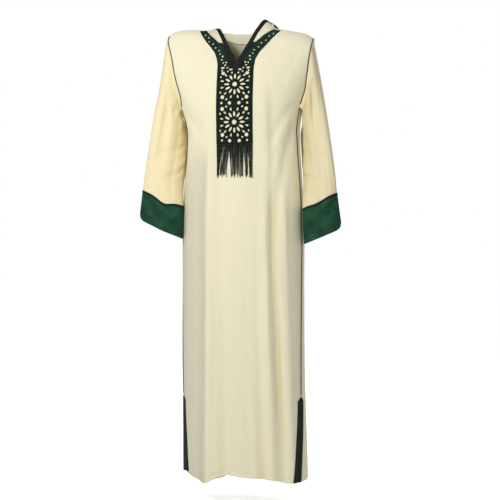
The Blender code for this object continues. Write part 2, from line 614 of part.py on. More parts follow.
HOOD_PLACES = (0.0, 0.08, 0.15, 0.22, 0.29, 0.36, 0.43, 0.49, 0.535, 0.58, 0.62, HOOD_CORNER, 0.74, 0.83, 0.92, 1.0)
hood = {}
for side, name in ((-1, "right"), (1, "left")):
    grid = np.array([hood_row(side, t, 14) for t in HOOD_PLACES])
    grid[0, :, 0] = side * 0.0003
    out = grid_normals(grid) * side
    out[0] = unit(out[0] * (0, 1, 1))
    hood[side] = (grid, out)
    wall("hood_" + name, grid, out, CLOTH, IVORY)


# ---------------------------------------------------------------- edge binding
def binding_rings():
    """Sections of the folded tape: up the wearer's left V edge, round the hood's edge, down the right."""
    columns = np.abs(front[-1, :, 0]) <= V_TOP[0] + 1e-4
    v_edge, v_out = front[-1, columns], unit(front_out[-1, columns] * (0.4, 1, 1))
    middle = int(np.argmin(np.abs(v_edge[:, 0])))
    order = [("v", k) for k in range(middle, len(v_edge) - 1)]
    order += [(1, k) for k in range(len(HOOD_PLACES) - 1, 0, -1)]
    order += [(-1, k) for k in range(len(HOOD_PLACES))]
    order += [("v", k) for k in range(1, middle)]
    path = np.array([v_edge[k] if part == "v" else hood[part][0][k, -1] for part, k in order])
    way = unit(np.roll(path, -1, 0) - np.roll(path, 1, 0))
    way[0] = (1, 0, 0)
    mitre = 1 / math.sin(math.atan2(V_TOP[0], V_TOP[1] - V_POINT_Z))
    rings = []
    for n, (part, k) in enumerate(order):
        ring = []
        for inward, depth in BINDING_SECTION:
            if part == "v":
                into = unit(np.cross(way[n], v_out[k])) * (mitre if n == 0 else 1)
                ring.append(path[n] + into * inward + v_out[k] * depth)
                continue
            row, out = hood[part][0][k, ::-1], hood[part][1][k, ::-1]
            first = unit(row[1] - row[0])
            (*_, foot, edge), flat = hood_stations(part, HOOD_PLACES[k])
            room = 0.6 * float(np.linalg.norm(edge - foot)) + 0.02 * flat**2.5
            walk = min(inward / max(0.6, float(np.linalg.norm(np.cross(first, way[n])))), room)
            lengths = np.concatenate([[0], np.cumsum(np.linalg.norm(np.diff(row, axis=0), axis=1))])
            on = np.array([np.interp(walk, lengths, row[:, axis]) for axis in range(3)])
            lean = unit(np.array([np.interp(walk, lengths, out[:, axis]) for axis in range(3)]))
            ring.append(on + first * min(walk, 0) + lean * depth)
        rings.append(ring)
    return np.array(rings)


gap = 0.0007
BINDING_SECTION = (
    (BINDING_W, gap), (BINDING_W, gap + BINDING_T), (BINDING_W / 2, gap + BINDING_T),
    (-gap - BINDING_T, gap + BINDING_T), (-gap - BINDING_T, -CLOTH - gap - BINDING_T),
    (BINDING_W / 2, -CLOTH - gap - BINDING_T), (BINDING_W * 0.8, -CLOTH - gap - BINDING_T),
    (BINDING_W * 0.8, -CLOTH - gap), (BINDING_W / 2, -CLOTH - gap), (-gap, -CLOTH - gap), (-gap, gap),
    (BINDING_W / 2, gap),
)
rings = binding_rings()
count, sides = rings.shape[:2]
tape_faces = []
for r in range(count):
    n = (r + 1) % count
    for k in range(sides):
        a, b, c, d = r * sides + k, r * sides + (k + 1) % sides, n * sides + (k + 1) % sides, n * sides + k
        near, far = (11, 0) if k in (1, 5, 7, 11) else (10, 11)
        to_near = np.linalg.norm(rings[r, far] - rings[n, near]) <= np.linalg.norm(rings[r, near] - rings[n, far])
        if to_near == (k in (1, 2, 7, 8)):
            tape_faces += [(a, b, c), (a, c, d)]
        else:
            tape_faces += [(a, b, d), (b, c, d)]
solid("edge_binding", rings.reshape(-1, 3), tape_faces, NEAR_BLACK)


# ---------------------------------------------------------------- cutwork plastron
def oval(x, z, across, up, turn=0.0, sides=8, narrow=1.0):
    """Outline of a hole; narrow under 1 makes a drop that is thin at its inner end."""
    points = []
    for k in range(sides):
        a = 2 * math.pi * (k + 0.5) / sides
        along, side = across * math.cos(a), up * math.sin(a)
        side *= narrow + (1 - narrow) * (1 + math.cos(a)) / 2 if narrow < 1 else 1.0
        points.append((x + along * math.cos(turn) - side * math.sin(turn),
                       z + along * math.sin(turn) + side * math.cos(turn)))
    return points


def cutwork_holes():
    """Outlines of all holes, in metres, x from the cutwork's middle line."""
    found = []
    mm = 0.001
    for row, centre in enumerate(ROSETTES_Z):
        found.append(oval(0, centre, ROSETTE_EYE * mm, ROSETTE_EYE * mm, sides=12))
        for k in range(12):
            turn = math.radians(30 * k)
            r0, r1, half = (v * mm for v in ROSETTE_PETAL)
            r = (r0 + r1) / 2
            found.append(oval(r * math.cos(turn), centre + r * math.sin(turn), (r1 - r0) / 2, half, turn))
            turn = math.radians(30 * k + 15)
            r0, r1, half = (v * mm for v in ROSETTE_DROP)
            if row == 0 and k in (2, 3):
                r0, r1 = 33.8 * mm, 40.5 * mm
            r = (r0 + r1) / 2
            found.append(oval(r * math.cos(turn), centre + r * math.sin(turn), (r1 - r0) / 2, half, turn,
                              narrow=0.45))
    for x, z, across, up in HOLES:
        for side in (-1, 1):
            found.append(oval(side * (x - 7 * (side < 0 and z > 150)) * mm, ROSETTES_Z[0] + z * mm, across * mm, up * mm,
                              sides=10 if across > 4 else 8))
    return found


def split_line(points, step):
    """Close outline with extra points so that no side is longer than step."""
    made = []
    for p, q in zip(points, points[1:] + points[:1]):
        n = max(1, math.ceil(math.dist(p, q) / step))
        made += [(p[0] + (q[0] - p[0]) * k / n, p[1] + (q[1] - p[1]) * k / n) for k in range(n)]
    return made


def cutwork_outline():
    slope = math.atan2(V_TOP[0], V_TOP[1] - V_POINT_Z)
    clear = BINDING_W + 0.0016
    notch = V_POINT_Z - clear / math.sin(slope)
    foot_x = V_TOP[0] + clear / math.cos(slope)
    foot_z = notch + foot_x / math.tan(slope)
    half = [(0.0, notch), (foot_x, min(foot_z, -0.0475)), (0.0570, -0.0465), (0.0830, -0.0225),
            (0.1090, -0.0035), (0.1300, -0.0085), (0.1000, -0.0450), (0.0715, -0.0800), (0.0600, -0.1020),
            (CUTWORK_HALF, -0.1280), (CUTWORK_HALF, CUTWORK_BOTTOM)]
    other = half[1:4] + [(0.1040, 0.0000), (0.1240, -0.0015), (0.1120, -0.0220), (0.0960, -0.0440), (0.0800, -0.0630),
                         (0.0680, -0.0790), (0.0600, -0.1000), (CUTWORK_HALF, -0.1180), (CUTWORK_HALF, CUTWORK_BOTTOM)]
    return half + [(-x, z) for x, z in reversed(other)]


def inside(point, outline):
    x, z = point
    hit = False
    for (x0, z0), (x1, z1) in zip(outline, outline[1:] + outline[:1]):
        if (z0 > z) != (z1 > z) and x < (x1 - x0) * (z - z0) / (z1 - z0) + x0:
            hit = not hit
    return hit


outline = split_line(cutwork_outline(), 0.014)
loops = [outline] + cutwork_holes()
flat_points, edges = [], []
for loop in loops:
    first = len(flat_points)
    flat_points += loop
    edges += [(first + k, first + (k + 1) % len(loop)) for k in range(len(loop))]
made_points, _, made_faces, _, _, _ = delaunay_2d_cdt([Vector(p) for p in flat_points], edges, [], 0, 1e-7)
kept = []
for face in made_faces:
    middle = tuple(sum(made_points[i][k] for i in face) / 3 for k in (0, 1))
    if inside(middle, outline) and not any(inside(middle, loop) for loop in loops[1:]):
        kept.append(tuple(face))
xz = np.array([(p[0], p[1]) for p in made_points])
base = skin_x(-1, xz[:, 0] + CENTRE_X, xz[:, 1])
base_out = skin_x_normal(-1, xz[:, 0] + CENTRE_X, xz[:, 1])
count = len(base)
points = np.concatenate([base + base_out * (LAY + TRIM), base + base_out * LAY])
used = {}
for face in kept:
    for p, q in zip(face, face[1:] + face[:1]):
        used[(p, q)] = True
faces = list(kept) + [tuple(i + count for i in reversed(face)) for face in kept]
faces += [(p, q, q + count, p + count) for p, q in used if (q, p) not in used]
solid("cutwork_plastron", points, faces, DARK_GREEN)

# ---------------------------------------------------------------- fringe
random = np.random.default_rng(5)
strand_x = CENTRE_X + np.linspace(-CUTWORK_HALF + 0.003, CUTWORK_HALF - 0.003, STRANDS)
strip_top, strip_foot = CUTWORK_BOTTOM - 0.0006, CUTWORK_BOTTOM - 0.0046
marks = sorted([x + s * STRAND_R for x in strand_x for s in (-1, 1)])
points, faces = [], []


def fringe_point(x, z, depth):
    place, out = skin_x(-1, np.array(x), np.array(z)), skin_x_normal(-1, np.array(x), np.array(z))
    points.append(place + out * depth)
    return len(points) - 1


near, far = LAY + 2 * STRAND_R, LAY
corners = [[fringe_point(x, z, d) for z, d in ((strip_top, near), (strip_foot, near), (strip_foot, far),
                                               (strip_top, far))] for x in marks]
for k in range(len(corners) - 1):
    a, b = corners[k], corners[k + 1]
    faces += [(a[0], a[1], b[1], b[0]), (a[2], a[3], b[3], b[2]), (a[3], a[0], b[0], b[3])]
    if k % 2:
        faces.append((a[1], a[2], b[2], b[1]))
for cap in (corners[0], corners[-1][::-1]):
    faces.append(tuple(cap))
for k in range(STRANDS):
    ring = [corners[2 * k][1], corners[2 * k + 1][1], corners[2 * k + 1][2], corners[2 * k][2]]
    sway = random.uniform(-0.0007, 0.0007, 5)
    length = FRINGE_LENGTH + random.uniform(-0.004, 0.003)
    for step in range(1, 5):
        x = strand_x[k] + sway[step]
        z = strip_foot - length * step / 4
        r = STRAND_R * (1 - 0.05 * step)
        made = [fringe_point(x + sx * r, z, LAY + STRAND_R + d * r) for sx, d in ((-1, 1), (1, 1), (1, -1), (-1, -1))]
        faces += [(ring[n], ring[(n + 1) % 4], made[(n + 1) % 4], made[n]) for n in range(4)]
        ring = made
    faces.append(tuple(ring))
solid("fringe", points, faces, NEAR_BLACK)

# ---------------------------------------------------------------- pipings, slit bands, hem facings
def armhole_lean(side, angles):
    """Direction off the armhole seam, between the body's and the sleeve's outward normals."""
    step = 0.02
    around = sleeve_point(side, 0.3, angles + step) - sleeve_point(side, 0.3, angles - step)
    along = sleeve_point(side, 0.6, angles) - sleeve_point(side, 0.0, angles)
    sleeve_out = unit(np.cross(around, along)) * side
    body_out = np.zeros_like(sleeve_out)
    for face in (-1, 1):
        z = UNDERARM_Z + (column_top(face, np.array([float(side)]))[0] - UNDERARM_Z) * (1 + np.cos(angles)) / 2
        body = skin_out(face, side * edge_turn(face, side, z), np.minimum(z, -0.034))
        body_out = np.where((np.sin(angles) * -face >= -1e-9)[:, None], body, body_out)
    return unit(body_out + sleeve_out)


for side, name in ((-1, "right"), (1, "left")):
    angles = np.radians(np.concatenate([np.linspace(150, 15, 19), np.linspace(0, -135, 19)]))
    loop = armhole(side, angles)
    lean = armhole_lean(side, angles)
    tube("armhole_piping_" + name, loop, lean, PIPING_R, NEAR_BLACK, lift=0.0013)
    z = front_z[:-UPPER - 1, 0 if side < 0 else -1]
    z = np.append(z[z > SLIT_TOP_Z + 0.02], UNDERARM_Z - 0.014)
    z = np.insert(z, 0, SLIT_TOP_Z + 0.010)
    turn = side * edge_turn(-1, side, z)
    tube("side_piping_" + name, skin(-1, turn, z), skin_out(-1, turn, z), PIPING_R, NEAR_BLACK, lift=0.0012)
    for face, place in ((-1, "front"), (1, "back")):
        hem = FRONT_HEM if face < 0 else BACK_HEM
        foot = np.interp(side, *zip(*hem)) + 0.0015
        share = np.linspace(0, 1, 4)
        top = SLIT_TOP_Z + 0.002 - BAND_POINT * share
        z = foot + (top[None, :] - foot) * np.linspace(0, 1, 10)[:, None]
        turn = edge_turn(face, side, z) - (0.0006 + BAND_W * share) / SEAM_SPEED
        grid = skin(face, side * turn, z)
        out = grid_normals(grid) * face * side
        wall("slit_band_%s_%s" % (place, name), grid + out * (LAY + TRIM), out, TRIM, NEAR_BLACK)
for face, grid, out, name in ((-1, front, front_out, "front"), (1, back, back_out, "back")):
    lower = np.array([grid[0], grid[0] + unit(grid[1] - grid[0]) * 0.020])
    ends = lower[:, 1:-1]
    start = ends + unit(np.array([grid[1] - grid[0]] * 2))[:, 1:-1] * 0.001
    leaf = np.array([out[0], out[0]])[:, 1:-1]
    wall("hem_facing_" + name, start - leaf * (CLOTH + 0.0011), leaf, 0.0008, NEAR_BLACK)
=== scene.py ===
"""Looks of the long hooded robe (djellaba): cloth shells, cutwork, fringe, stitching and materials.

Metres, +Z up, the front faces -Y, +X is the wearer's left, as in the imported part. The section tables are
those of the part, in millimetres. Finer creases, hems, stitches and the materials are added here.
"""

import functools
import math

import bmesh
import bpy
import numpy as np
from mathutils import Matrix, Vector
from mathutils.geometry import delaunay_2d_cdt


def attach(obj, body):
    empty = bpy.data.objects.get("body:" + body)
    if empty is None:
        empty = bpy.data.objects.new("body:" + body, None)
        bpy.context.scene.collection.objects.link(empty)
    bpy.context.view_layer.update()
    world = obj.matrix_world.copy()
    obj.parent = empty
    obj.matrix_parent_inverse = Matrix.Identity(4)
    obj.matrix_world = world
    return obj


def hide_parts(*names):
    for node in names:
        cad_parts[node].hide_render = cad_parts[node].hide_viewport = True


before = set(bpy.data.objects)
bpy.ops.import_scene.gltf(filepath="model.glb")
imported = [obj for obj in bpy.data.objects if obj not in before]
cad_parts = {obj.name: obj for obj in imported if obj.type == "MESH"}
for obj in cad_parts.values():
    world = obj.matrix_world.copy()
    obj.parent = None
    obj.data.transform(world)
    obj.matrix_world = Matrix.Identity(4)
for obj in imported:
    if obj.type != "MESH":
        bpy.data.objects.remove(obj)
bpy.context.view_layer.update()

# ---------------------------------------------------------------- named sizes
SIDES = ((-1, "right"), (1, "left"))
FACES = ((-1, "front"), (1, "back"))
UNDERARM_Z = -0.245
NECK_X = 0.109          # half width of the neckline on the shoulder
RIDGE_ROUND = 0.045     # height over which the shoulder rounds over
ARMHOLE_ROUND = 0.070   # height over which the armhole turns under the arm
V_POINT_Z = -0.111
V_TOP = (0.034, -0.046)         # where the V edge meets the hood
TIP = (0.057, -0.043)           # lower front end of the neck seam
BACK_NECK_Z = -0.030
SLIT_TOP_Z = -1.137
SLIT_OPEN = (0.0006, 0.0012)    # half opening of a slit near its top and at the hem
SEAM_SPEED = 0.135              # metres of surface per radian of angle at the side seam
CREPE, FOLDED = 0.0011, 0.0024  # robe cloth, and the same folded over at the hem
SEAM_GAP = 0.00008
BINDING_W = 0.0125
CORD_R, EDGE_CORD_R = 0.00135, 0.0009
BAND_W = 0.0145
BAND_POINT = 0.013
CUTWORK_HALF = 0.0560
CUTWORK_BOTTOM = -0.3640
CENTRE_X = -0.002       # middle line of the cutwork
FRINGE_LENGTH = 0.094
FLOOR_Z = -1.46


def metres(rows, plain=()):
    """A table written in millimetres, in metres; the plain columns hold degrees, shares or row numbers."""
    return tuple(tuple(v if k in plain else v / 1000 for k, v in enumerate(row)) for row in rows)


# body sections: height, half width, centre x, front depth, back depth, squareness
BODY = metres((
    (30, 290, 0, 48, 44, 2.6),
    (-30, 272, 0, 56, 68, 2.6),
    (-80, 252, 0, 78, 94, 2.6),
    (-130, 234, 1, 97, 110, 2.5),
    (-190, 209, 2, 113, 119, 2.4),
    (-245, 190, 4, 122, 117, 2.3),
    (-300, 177, 8, 121, 109, 2.3),
    (-380, 177, 9, 115, 101, 2.3),
    (-470, 184, 8, 114, 104, 2.3),
    (-600, 190, 8, 118, 117, 2.3),
    (-800, 190, 8, 120, 121, 2.3),
    (-1100, 191, 10, 121, 122, 2.3),
    (-1250, 194, 12, 122, 123, 2.3),
    (-1420, 197, 14, 124, 125, 2.3),
), plain=(5,))
# shoulder ridge: distance from the centre, height on the wearer's right, on the left
RIDGE = metres((
    (0, 12, 12),
    (60, 11, 11),
    (80, 8.8, 8.8),
    (95, 6.5, 6.5),
    (104, 5, 5),
    (109, 4, 4),
    (114, 3.6, 3),
    (135, 6.4, -0.5),
    (172, 7, -7.5),
    (198, 4.2, -13.5),
    (215, -2, -20.5),
    (226.5, -12, -29),
    (290, -70, -60),
))
# side seam: height, angle forward of the side in degrees on the wearer's right, on the left
SIDE_SEAM = metres((
    (0, 16, 16),
    (-245, 13, 16),
    (-330, 6, 15.5),
    (-600, 1.5, 13.5),
    (-880, 4, 15.5),
    (-1000, 9, 17),
    (-1140, 18, 19.5),
    (-1420, 29, 33),
), plain=(1, 2))
# armhole edge: height, front edge on the wearer's right, on the wearer's left, back edge of both
ARMHOLE = metres((
    (-11, 226.2, 228, 227),
    (-29, 225.5, 227.5, 226.5),
    (-60, 217, 223.5, 219),
    (-94, 208, 218, 210),
    (-150, 197, 211, 199),
    (-191, 185, 204, 192),
    (-219, 175, 195.5, 186),
    (-245, 172, 186.5, 182),
))
# hem height of the front and of the back: column from -1 to 1, height
FRONT_HEM = metres((
    (-1, -1368), (-0.8, -1384), (-0.62, -1396), (-0.48, -1394), (-0.34, -1378), (-0.16, -1367), (0.05, -1373),
    (0.3, -1377), (0.55, -1382), (0.75, -1393), (1, -1394),
), plain=(0,))
BACK_HEM = metres((
    (-1, -1368), (-0.6, -1384), (-0.2, -1390), (0.25, -1386), (0.65, -1392), (1, -1394),
), plain=(0,))
FOLD_LEVELS = (-0.300, -0.850, -1.390)
# large folds: x at the three levels, height at the three levels, half width
FRONT_FOLDS = metres((
    (-125, -122, -126, -2, -4, -6, 22),
    (-78, -83, -92, 1.5, 4.5, 9, 20),
    (-46, -46, -44, 0, -3.5, -7, 18),
    (10, 12, 16, 0, 1, 2, 30),
    (58, 62, 86, 0, -3, -7, 16),
    (90, 96, 112, 1, 3, 5, 16),
    (112, 116, 138, -3, -5, -4.5, 13),
    (150, 150, 160, 1, 2, 3, 14),
))
BACK_FOLDS = metres((
    (-110, -112, -118, 0, -4, -8, 20),
    (-60, -64, -70, 1, 4, 9, 22),
    (-10, -12, -16, -2, -4.5, -8, 20),
    (46, 44, 40, 1, 4, 8, 22),
    (98, 100, 104, 0, -4, -7, 20),
))
# sleeve rings: outer x, outer z, inner x, inner z, centre y, half depth, how far the inner edge lies back;
# the last row is the cuff end
SLEEVE_RIGHT = metres((
    (226.5, -12, 178, -245, 0, 62, 0),
    (235, -31, 187, -256, -1, 61, 4),
    (244, -88, 189.5, -271, -5, 57, 16),
    (255, -165, 180, -295, -11, 51, 34),
    (269, -240, 173, -330, -19, 45, 46),
    (281, -320, 174.5, -385, -29, 39, 40),
    (292, -410, 178.5, -460, -40, 35, 24),
    (298.5, -460, 177, -510, -46, 33, 10),
    (302, -500, 173.8, -550, -50, 32, 2),
    (314, -588, 175.5, -650, -52, 31, 0),
))
SLEEVE_LEFT = metres((
    (228, -29, 187, -245, 0, 62, 0),
    (232, -52, 196, -256, -1, 61, 0),
    (241, -100, 202, -271, -5, 57, 0),
    (253, -165, 198.5, -295, -11, 51, 18),
    (266, -240, 186.5, -330, -19, 45, 46),
    (279, -320, 188.5, -385, -29, 39, 46),
    (292.5, -410, 196, -460, -40, 35, 34),
    (300, -470, 197.5, -523, -46, 33, 18),
    (304, -513, 198.5, -561, -50, 32, 4),
    (320, -618, 203, -667, -52, 31, 0),
))
CUFF_SAG = (0.014, 0.005)       # how far the front of the cuff seam sags: right, left
CUFF_CORNER = (0.017, 0.004)    # how far the cuff's outer lower corner is rounded up and in
CUFF_ROW, END_ROW = 8, 9
SLEEVE_FOLD = (0.15, -0.16)     # place across the sleeve and depth share of the long soft trough
# the sleeve's inner edge lies this much nearer the body between two rows: shift, from row, to row
SLEEVE_CLOSE = {-1: (0.0032, 1.5, 6.6), 1: (0.0055, 0.8, 4.6)}
# hood rows: place along the neck seam (0 = centre back, 1 = front tip), then x, y, z of rise = top of the
# stand, over = just past the roll, foot = bottom of the bag, edge = free bound edge
HOOD_LEFT = metres((
    (0, 0, 72, 2, 0, 106, -30, 0, 150, -335, 0, 154, -88),
    (0.12, 30, 69, 4, 35, 102, -22, 45, 144, -278, 48, 150, -79),
    (0.22, 53, 62, 8, 64, 92, -8, 82, 127, -185, 88, 137, -64),
    (0.3, 68, 53, 12, 81, 77, 3, 100, 104, -100, 107, 117, -44),
    (0.37, 80, 44, 16, 92, 60, 11, 109, 81, -45, 117, 93, -17),
    (0.44, 88, 33, 19, 98, 42, 20, 111, 57, 4, 119, 68, -2),
    (0.51, 94, 22, 18, 98, 28, 24, 105, 38, 22, 109, 47, 14),
    (0.58, 102, 13, 13.5, 98, 15, 24, 94, 20, 29, 95, 30, 23),
), plain=(0,))
HOOD_RIGHT = metres((
    (0, 0, 72, 2, 0, 106, -30, 0, 150, -335, 0, 154, -88),
    (0.12, 30, 69, 3, 35, 102, -24, 45, 144, -278, 48, 150, -80),
    (0.22, 53, 62, 5, 64, 93, -13, 82, 127, -185, 88, 137, -66),
    (0.3, 69, 54, 6, 82, 79, -6, 101, 105, -104, 108, 118, -48),
    (0.37, 82, 45, 6, 93, 62, -1, 111, 83, -52, 119, 94, -23),
    (0.44, 92, 36, 5, 100, 46, 5, 112, 60, -8, 119, 70, -8),
    (0.51, 101.5, 26.5, 5.5, 102, 31, 9, 106, 38, 8, 110, 47, 1),
    (0.58, 104, 13, 6, 100, 15, 9, 96, 20, 12, 96, 30, 6),
), plain=(0,))
# hood front, where the cloth stands flat: place, x, y, z of the bound edge on the left; x, y, z on the right
HOOD_FRONT = metres((
    (0.66, 80, 2, 33, 74, 2, 9.5),
    (0.83, 56, -36, 1, 52, -36, -13),
    (1, 34.2, -62.2, -45.2, 34.2, -62.2, -45.2),
), plain=(0,))
HOOD_CORNER = 0.66      # place where the neck seam crosses the shoulder
# cutwork, in millimetres: 12 petals and 12 drops round each eye, as from, to, half width
ROSETTE_PETAL = (16.5, 32.5, 3.4)
ROSETTE_DROP = (34.5, 45.0, 3.7)
SHORT_DROP = (33.8, 40.5, 3.7)          # two drops below the V's point
ROSETTE_EYE = 7.3
ROSETTES_Z = (-0.1820, -0.2978)
# single holes, millimetres from the upper rosette's centre, mirrored: x, z, radius across, radius up
HOLES = (
    (39.0, 52.0, 6.0, 3.2), (40.5, 43.2, 3.0, 3.0), (14.0, 46.6, 5.6, 3.0), (24.5, 51.8, 2.7, 2.7),
    (32.0, 60.5, 3.0, 3.0), (29.5, 69.5, 3.4, 2.6), (22.5, 40.5, 2.5, 2.5),
    (37.0, 34.6, 5.8, 5.4), (43.6, 23.0, 2.6, 3.4),
    (43.6, -25.5, 2.6, 3.4), (37.0, -40.0, 5.8, 6.2), (24.6, -46.8, 3.2, 3.2),
    (14.6, -57.9, 5.2, 5.4), (39.5, -57.9, 3.3, 3.8), (24.6, -69.0, 3.2, 3.2),
    (37.0, -75.8, 5.8, 6.2), (43.6, -90.3, 2.6, 3.4),
    (43.6, -141.3, 2.6, 3.4), (37.0, -153.8, 5.8, 6.0), (24.2, -160.6, 3.2, 2.8),
    (14.8, -171.8, 5.2, 5.2), (38.6, -170.4, 3.2, 4.0),
    (38.5, 68.5, 2.6, 2.6), (44.0, 78.5, 2.8, 2.8), (42.0, 89.5, 3.2, 2.8), (50.5, 97.5, 2.4, 2.4),
    (54.5, 109.0, 2.6, 2.6), (66.5, 118.5, 2.4, 2.4), (75.0, 131.5, 2.6, 2.6), (88.0, 140.5, 2.4, 2.4),
    (97.5, 153.5, 2.6, 2.6), (109.5, 162.5, 2.4, 2.4),
)
# outline of the cutwork's arms from the V's edge to the straight sides, on the wearer's left and right: x, z
LEFT_ARM = metres(((57, -46.5), (83, -22.5), (109, -3.5), (130, -8.5), (100, -45), (71.5, -80), (60, -102), (56, -128)))
RIGHT_ARM = metres(((57, -46.5), (83, -22.5), (104, 0), (124, -1.5), (112, -22), (96, -44), (80, -63), (68, -79),
                    (60, -100), (56, -118)))
# fringe bunches: middle, number of strands, half spread
BUNCHES = metres(((-51.5, 7, 3.4), (-39.5, 7, 4.4), (-29, 3, 3), (-8, 6, 3.6), (1, 5, 3), (12, 3, 4.6),
                  (23.5, 5, 4.4), (36, 5, 4.2), (49, 7, 4.2)), plain=(1,))
# small vertical creases: x at the waist, x at the hem, top, bottom, height, half width, waver
FRONT_CREASES = metres((
    (-168, -171, -420, -1395, -1.1, 4.5, 1.6),
    (-157, -161, -360, -1200, 0.9, 4, 1.8),
    (-147, -148, -500, -1395, -1.2, 5, 2),
    (-137, -136, -400, -1300, 1, 4.5, 1.5),
    (-126, -128, -600, -1395, -1, 5, 2.2),
    (-115, -114, -450, -1100, 0.8, 4.5, 1.6),
    (-104, -108, -700, -1395, -1.2, 6, 2),
    (-86, -96, -300, -1395, 1.3, 8, 2),
    (-66, -74, -500, -1250, -0.9, 7, 1.8),
    (-30, -30, -800, -1395, -1, 9, 2.6),
    (-8, 0, -550, -1300, 0.9, 9, 2),
    (34, 40, -600, -1395, -1.4, 10, 2.2),
    (50, 62, -480, -1395, 1, 7, 1.8),
    (84, 115, -480, -1395, 3.2, 8, 1.4),
    (103.5, 150, -440, -1395, -10, 12, 1.4),
    (140, 174, -400, -1395, 3.6, 10, 1.4),
    (-117, -119, -300, -1395, -7, 18, 2),
    (-77, -81, -340, -1395, 3.4, 11, 2),
    (118, 161, -600, -1300, 0.8, 3.5, 1.4),
))
BACK_CREASES = metres((
    (-150, -156, -450, -1395, -1.2, 6, 2),
    (-128, -130, -600, -1395, 1.1, 6, 2),
    (-90, -96, -500, -1300, -1.2, 8, 2.4),
    (-44, -48, -700, -1395, 1.2, 8, 2),
    (6, 10, -550, -1395, -1.2, 9, 2.4),
    (30, 28, -800, -1350, 1, 7, 1.8),
    (74, 78, -500, -1395, -1.4, 8, 2),
    (118, 124, -600, -1395, 1.2, 7, 2.2),
    (142, 150, -450, -1395, -1, 6, 1.8),
))
# drag lines: start x, z, end x, z, height, half width; they fade towards both ends
FRONT_DRAGS = metres((
    (-178, -235, -92, -330, -3, 10), (-172, -262, -80, -420, 2.6, 11), (-165, -300, -100, -520, -2.2, 12),
    (190, -225, 104, -350, -3, 10), (182, -260, 88, -440, 2.6, 11), (178, -270, 112, -660, -4.6, 13),
    (150, -330, 86, -620, 2, 10), (-190, -70, -120, -200, -1.4, 12), (196, -70, 126, -210, -1.4, 12),
    (-96, -150, -92, -420, 1.2, 14), (94, -160, 90, -430, 1.3, 14), (-70, -460, 60, -486, -0.9, 12),
    (-50, -520, 74, -500, 0.8, 10),
))
BACK_DRAGS = metres((
    (-182, -240, -90, -360, -2.4, 11), (-176, -275, -70, -460, 1.8, 12), (186, -240, 94, -370, -2.4, 11),
    (178, -275, 74, -470, 1.8, 12), (-150, -90, -60, -120, -1.4, 14), (150, -90, 60, -120, -1.4, 14),
    (-90, -520, 80, -500, -1.6, 14), (-70, -560, 90, -545, 1.2, 12),
))
BACK_DEPTH = (1.9, 1.4)         # how much the back's creases and drag lines are deepened
# sleeve creases: ring row and angle in degrees of both ends, height, half width
SLEEVE_CREASES = metres((
    (0.8, 150, 3.6, 100, -2.6, 9), (1, 175, 4.2, 125, 2.2, 10), (1.6, -160, 4.4, -110, -2.4, 10),
    (0.6, 60, 3.4, 78, -1.4, 10), (2.6, 96, 7.6, 84, 1.8, 11), (3.2, 70, 7.8, 62, -2, 10),
    (4.6, 150, 5.6, 70, -2.4, 8), (5.2, 165, 6.2, 80, 2, 8), (5.6, 150, 6.6, 95, -1.8, 7),
    (4.8, -150, 5.8, -70, -2.2, 8), (5.5, -160, 6.4, -85, 2, 9), (3.4, 118, 7.8, 122, -1.6, 8),
    (3, -100, 7.6, -92, -2, 12), (3.6, -60, 7.6, -62, 1.6, 10), (6.2, 30, 7.9, 40, -1.4, 8),
    (6.4, -30, 7.9, -24, 1.2, 8),
), plain=(0, 1, 2, 3))
CUFF_DENTS = metres((
    (8.05, 120, 8.95, 104, -2.2, 12), (8.1, 70, 8.95, 62, 2, 12), (8.05, 40, 8.9, 28, -1.8, 10),
    (8.05, -60, 8.95, -70, -2.2, 14), (8.1, -110, 8.95, -124, 1.8, 12), (8.05, 150, 8.95, 160, 1.4, 10),
), plain=(0, 1, 2, 3))
SLEEVE_DEPTH = 1.5              # how much the sleeve creases are deepened
# hood creases: place along the neck seam and down the row of both ends, height, half width as a share
HOOD_CREASES = metres((
    (0.04, 0.3, 0.02, 0.52, -2.8, 0.045), (0.13, 0.28, 0.09, 0.5, 2.4, 0.04), (0.22, 0.3, 0.16, 0.55, -2.4, 0.036),
    (0.3, 0.32, 0.24, 0.52, 2, 0.034), (0.1, 0.66, 0.16, 0.92, -2.4, 0.04), (0.02, 0.62, 0.05, 0.86, 2.2, 0.04),
    (0.2, 0.64, 0.26, 0.9, 1.8, 0.034), (0.74, 0.15, 0.8, 0.75, -1.2, 0.03),
), plain=(0, 1, 2, 3, 5))


# ---------------------------------------------------------------- helpers
@functools.lru_cache(maxsize=None)
def table_column(table, column):
    rows = np.array(sorted(table), dtype=float)
    keys, values = rows[:, 0], rows[:, column]
    return keys, values, np.gradient(values, keys)


def curve(table, column, at):
    """Smooth value of a table column; the first column is the key."""
    keys, values, slopes = table_column(table, column)
    at = np.clip(np.asarray(at, dtype=float), keys[0], keys[-1])
    left = np.clip(np.searchsorted(keys, at, side="right") - 1, 0, len(keys) - 2)
    span = keys[left + 1] - keys[left]
    t = (at - keys[left]) / span
    return ((2 * t**3 - 3 * t**2 + 1) * values[left] + (t**3 - 2 * t**2 + t) * span * slopes[left]
            + (-2 * t**3 + 3 * t**2) * values[left + 1] + (t**3 - t**2) * span * slopes[left + 1])


def unit(vectors):
    return vectors / np.maximum(np.linalg.norm(vectors, axis=-1, keepdims=True), 1e-12)


def ease(t):
    t = np.clip(t, 0.0, 1.0)
    return t * t * (3 - 2 * t)


def grid_normals(grid, closed=False):
    """Normals of a grid of points (rows, columns, xyz), columns cross rows."""
    if closed:
        along = np.roll(grid, -1, 1) - np.roll(grid, 1, 1)
    else:
        along = np.gradient(grid, axis=1)
    return unit(np.cross(along, np.gradient(grid, axis=0)))


def bell(distance, half):
    return np.exp(-((distance / half) ** 2))


def turns(count):
    return 2 * np.pi * np.arange(count) / count


def running(points):
    """Running length along a line of points."""
    return np.concatenate([[0], np.cumsum(np.linalg.norm(np.diff(points, axis=0), axis=1))])


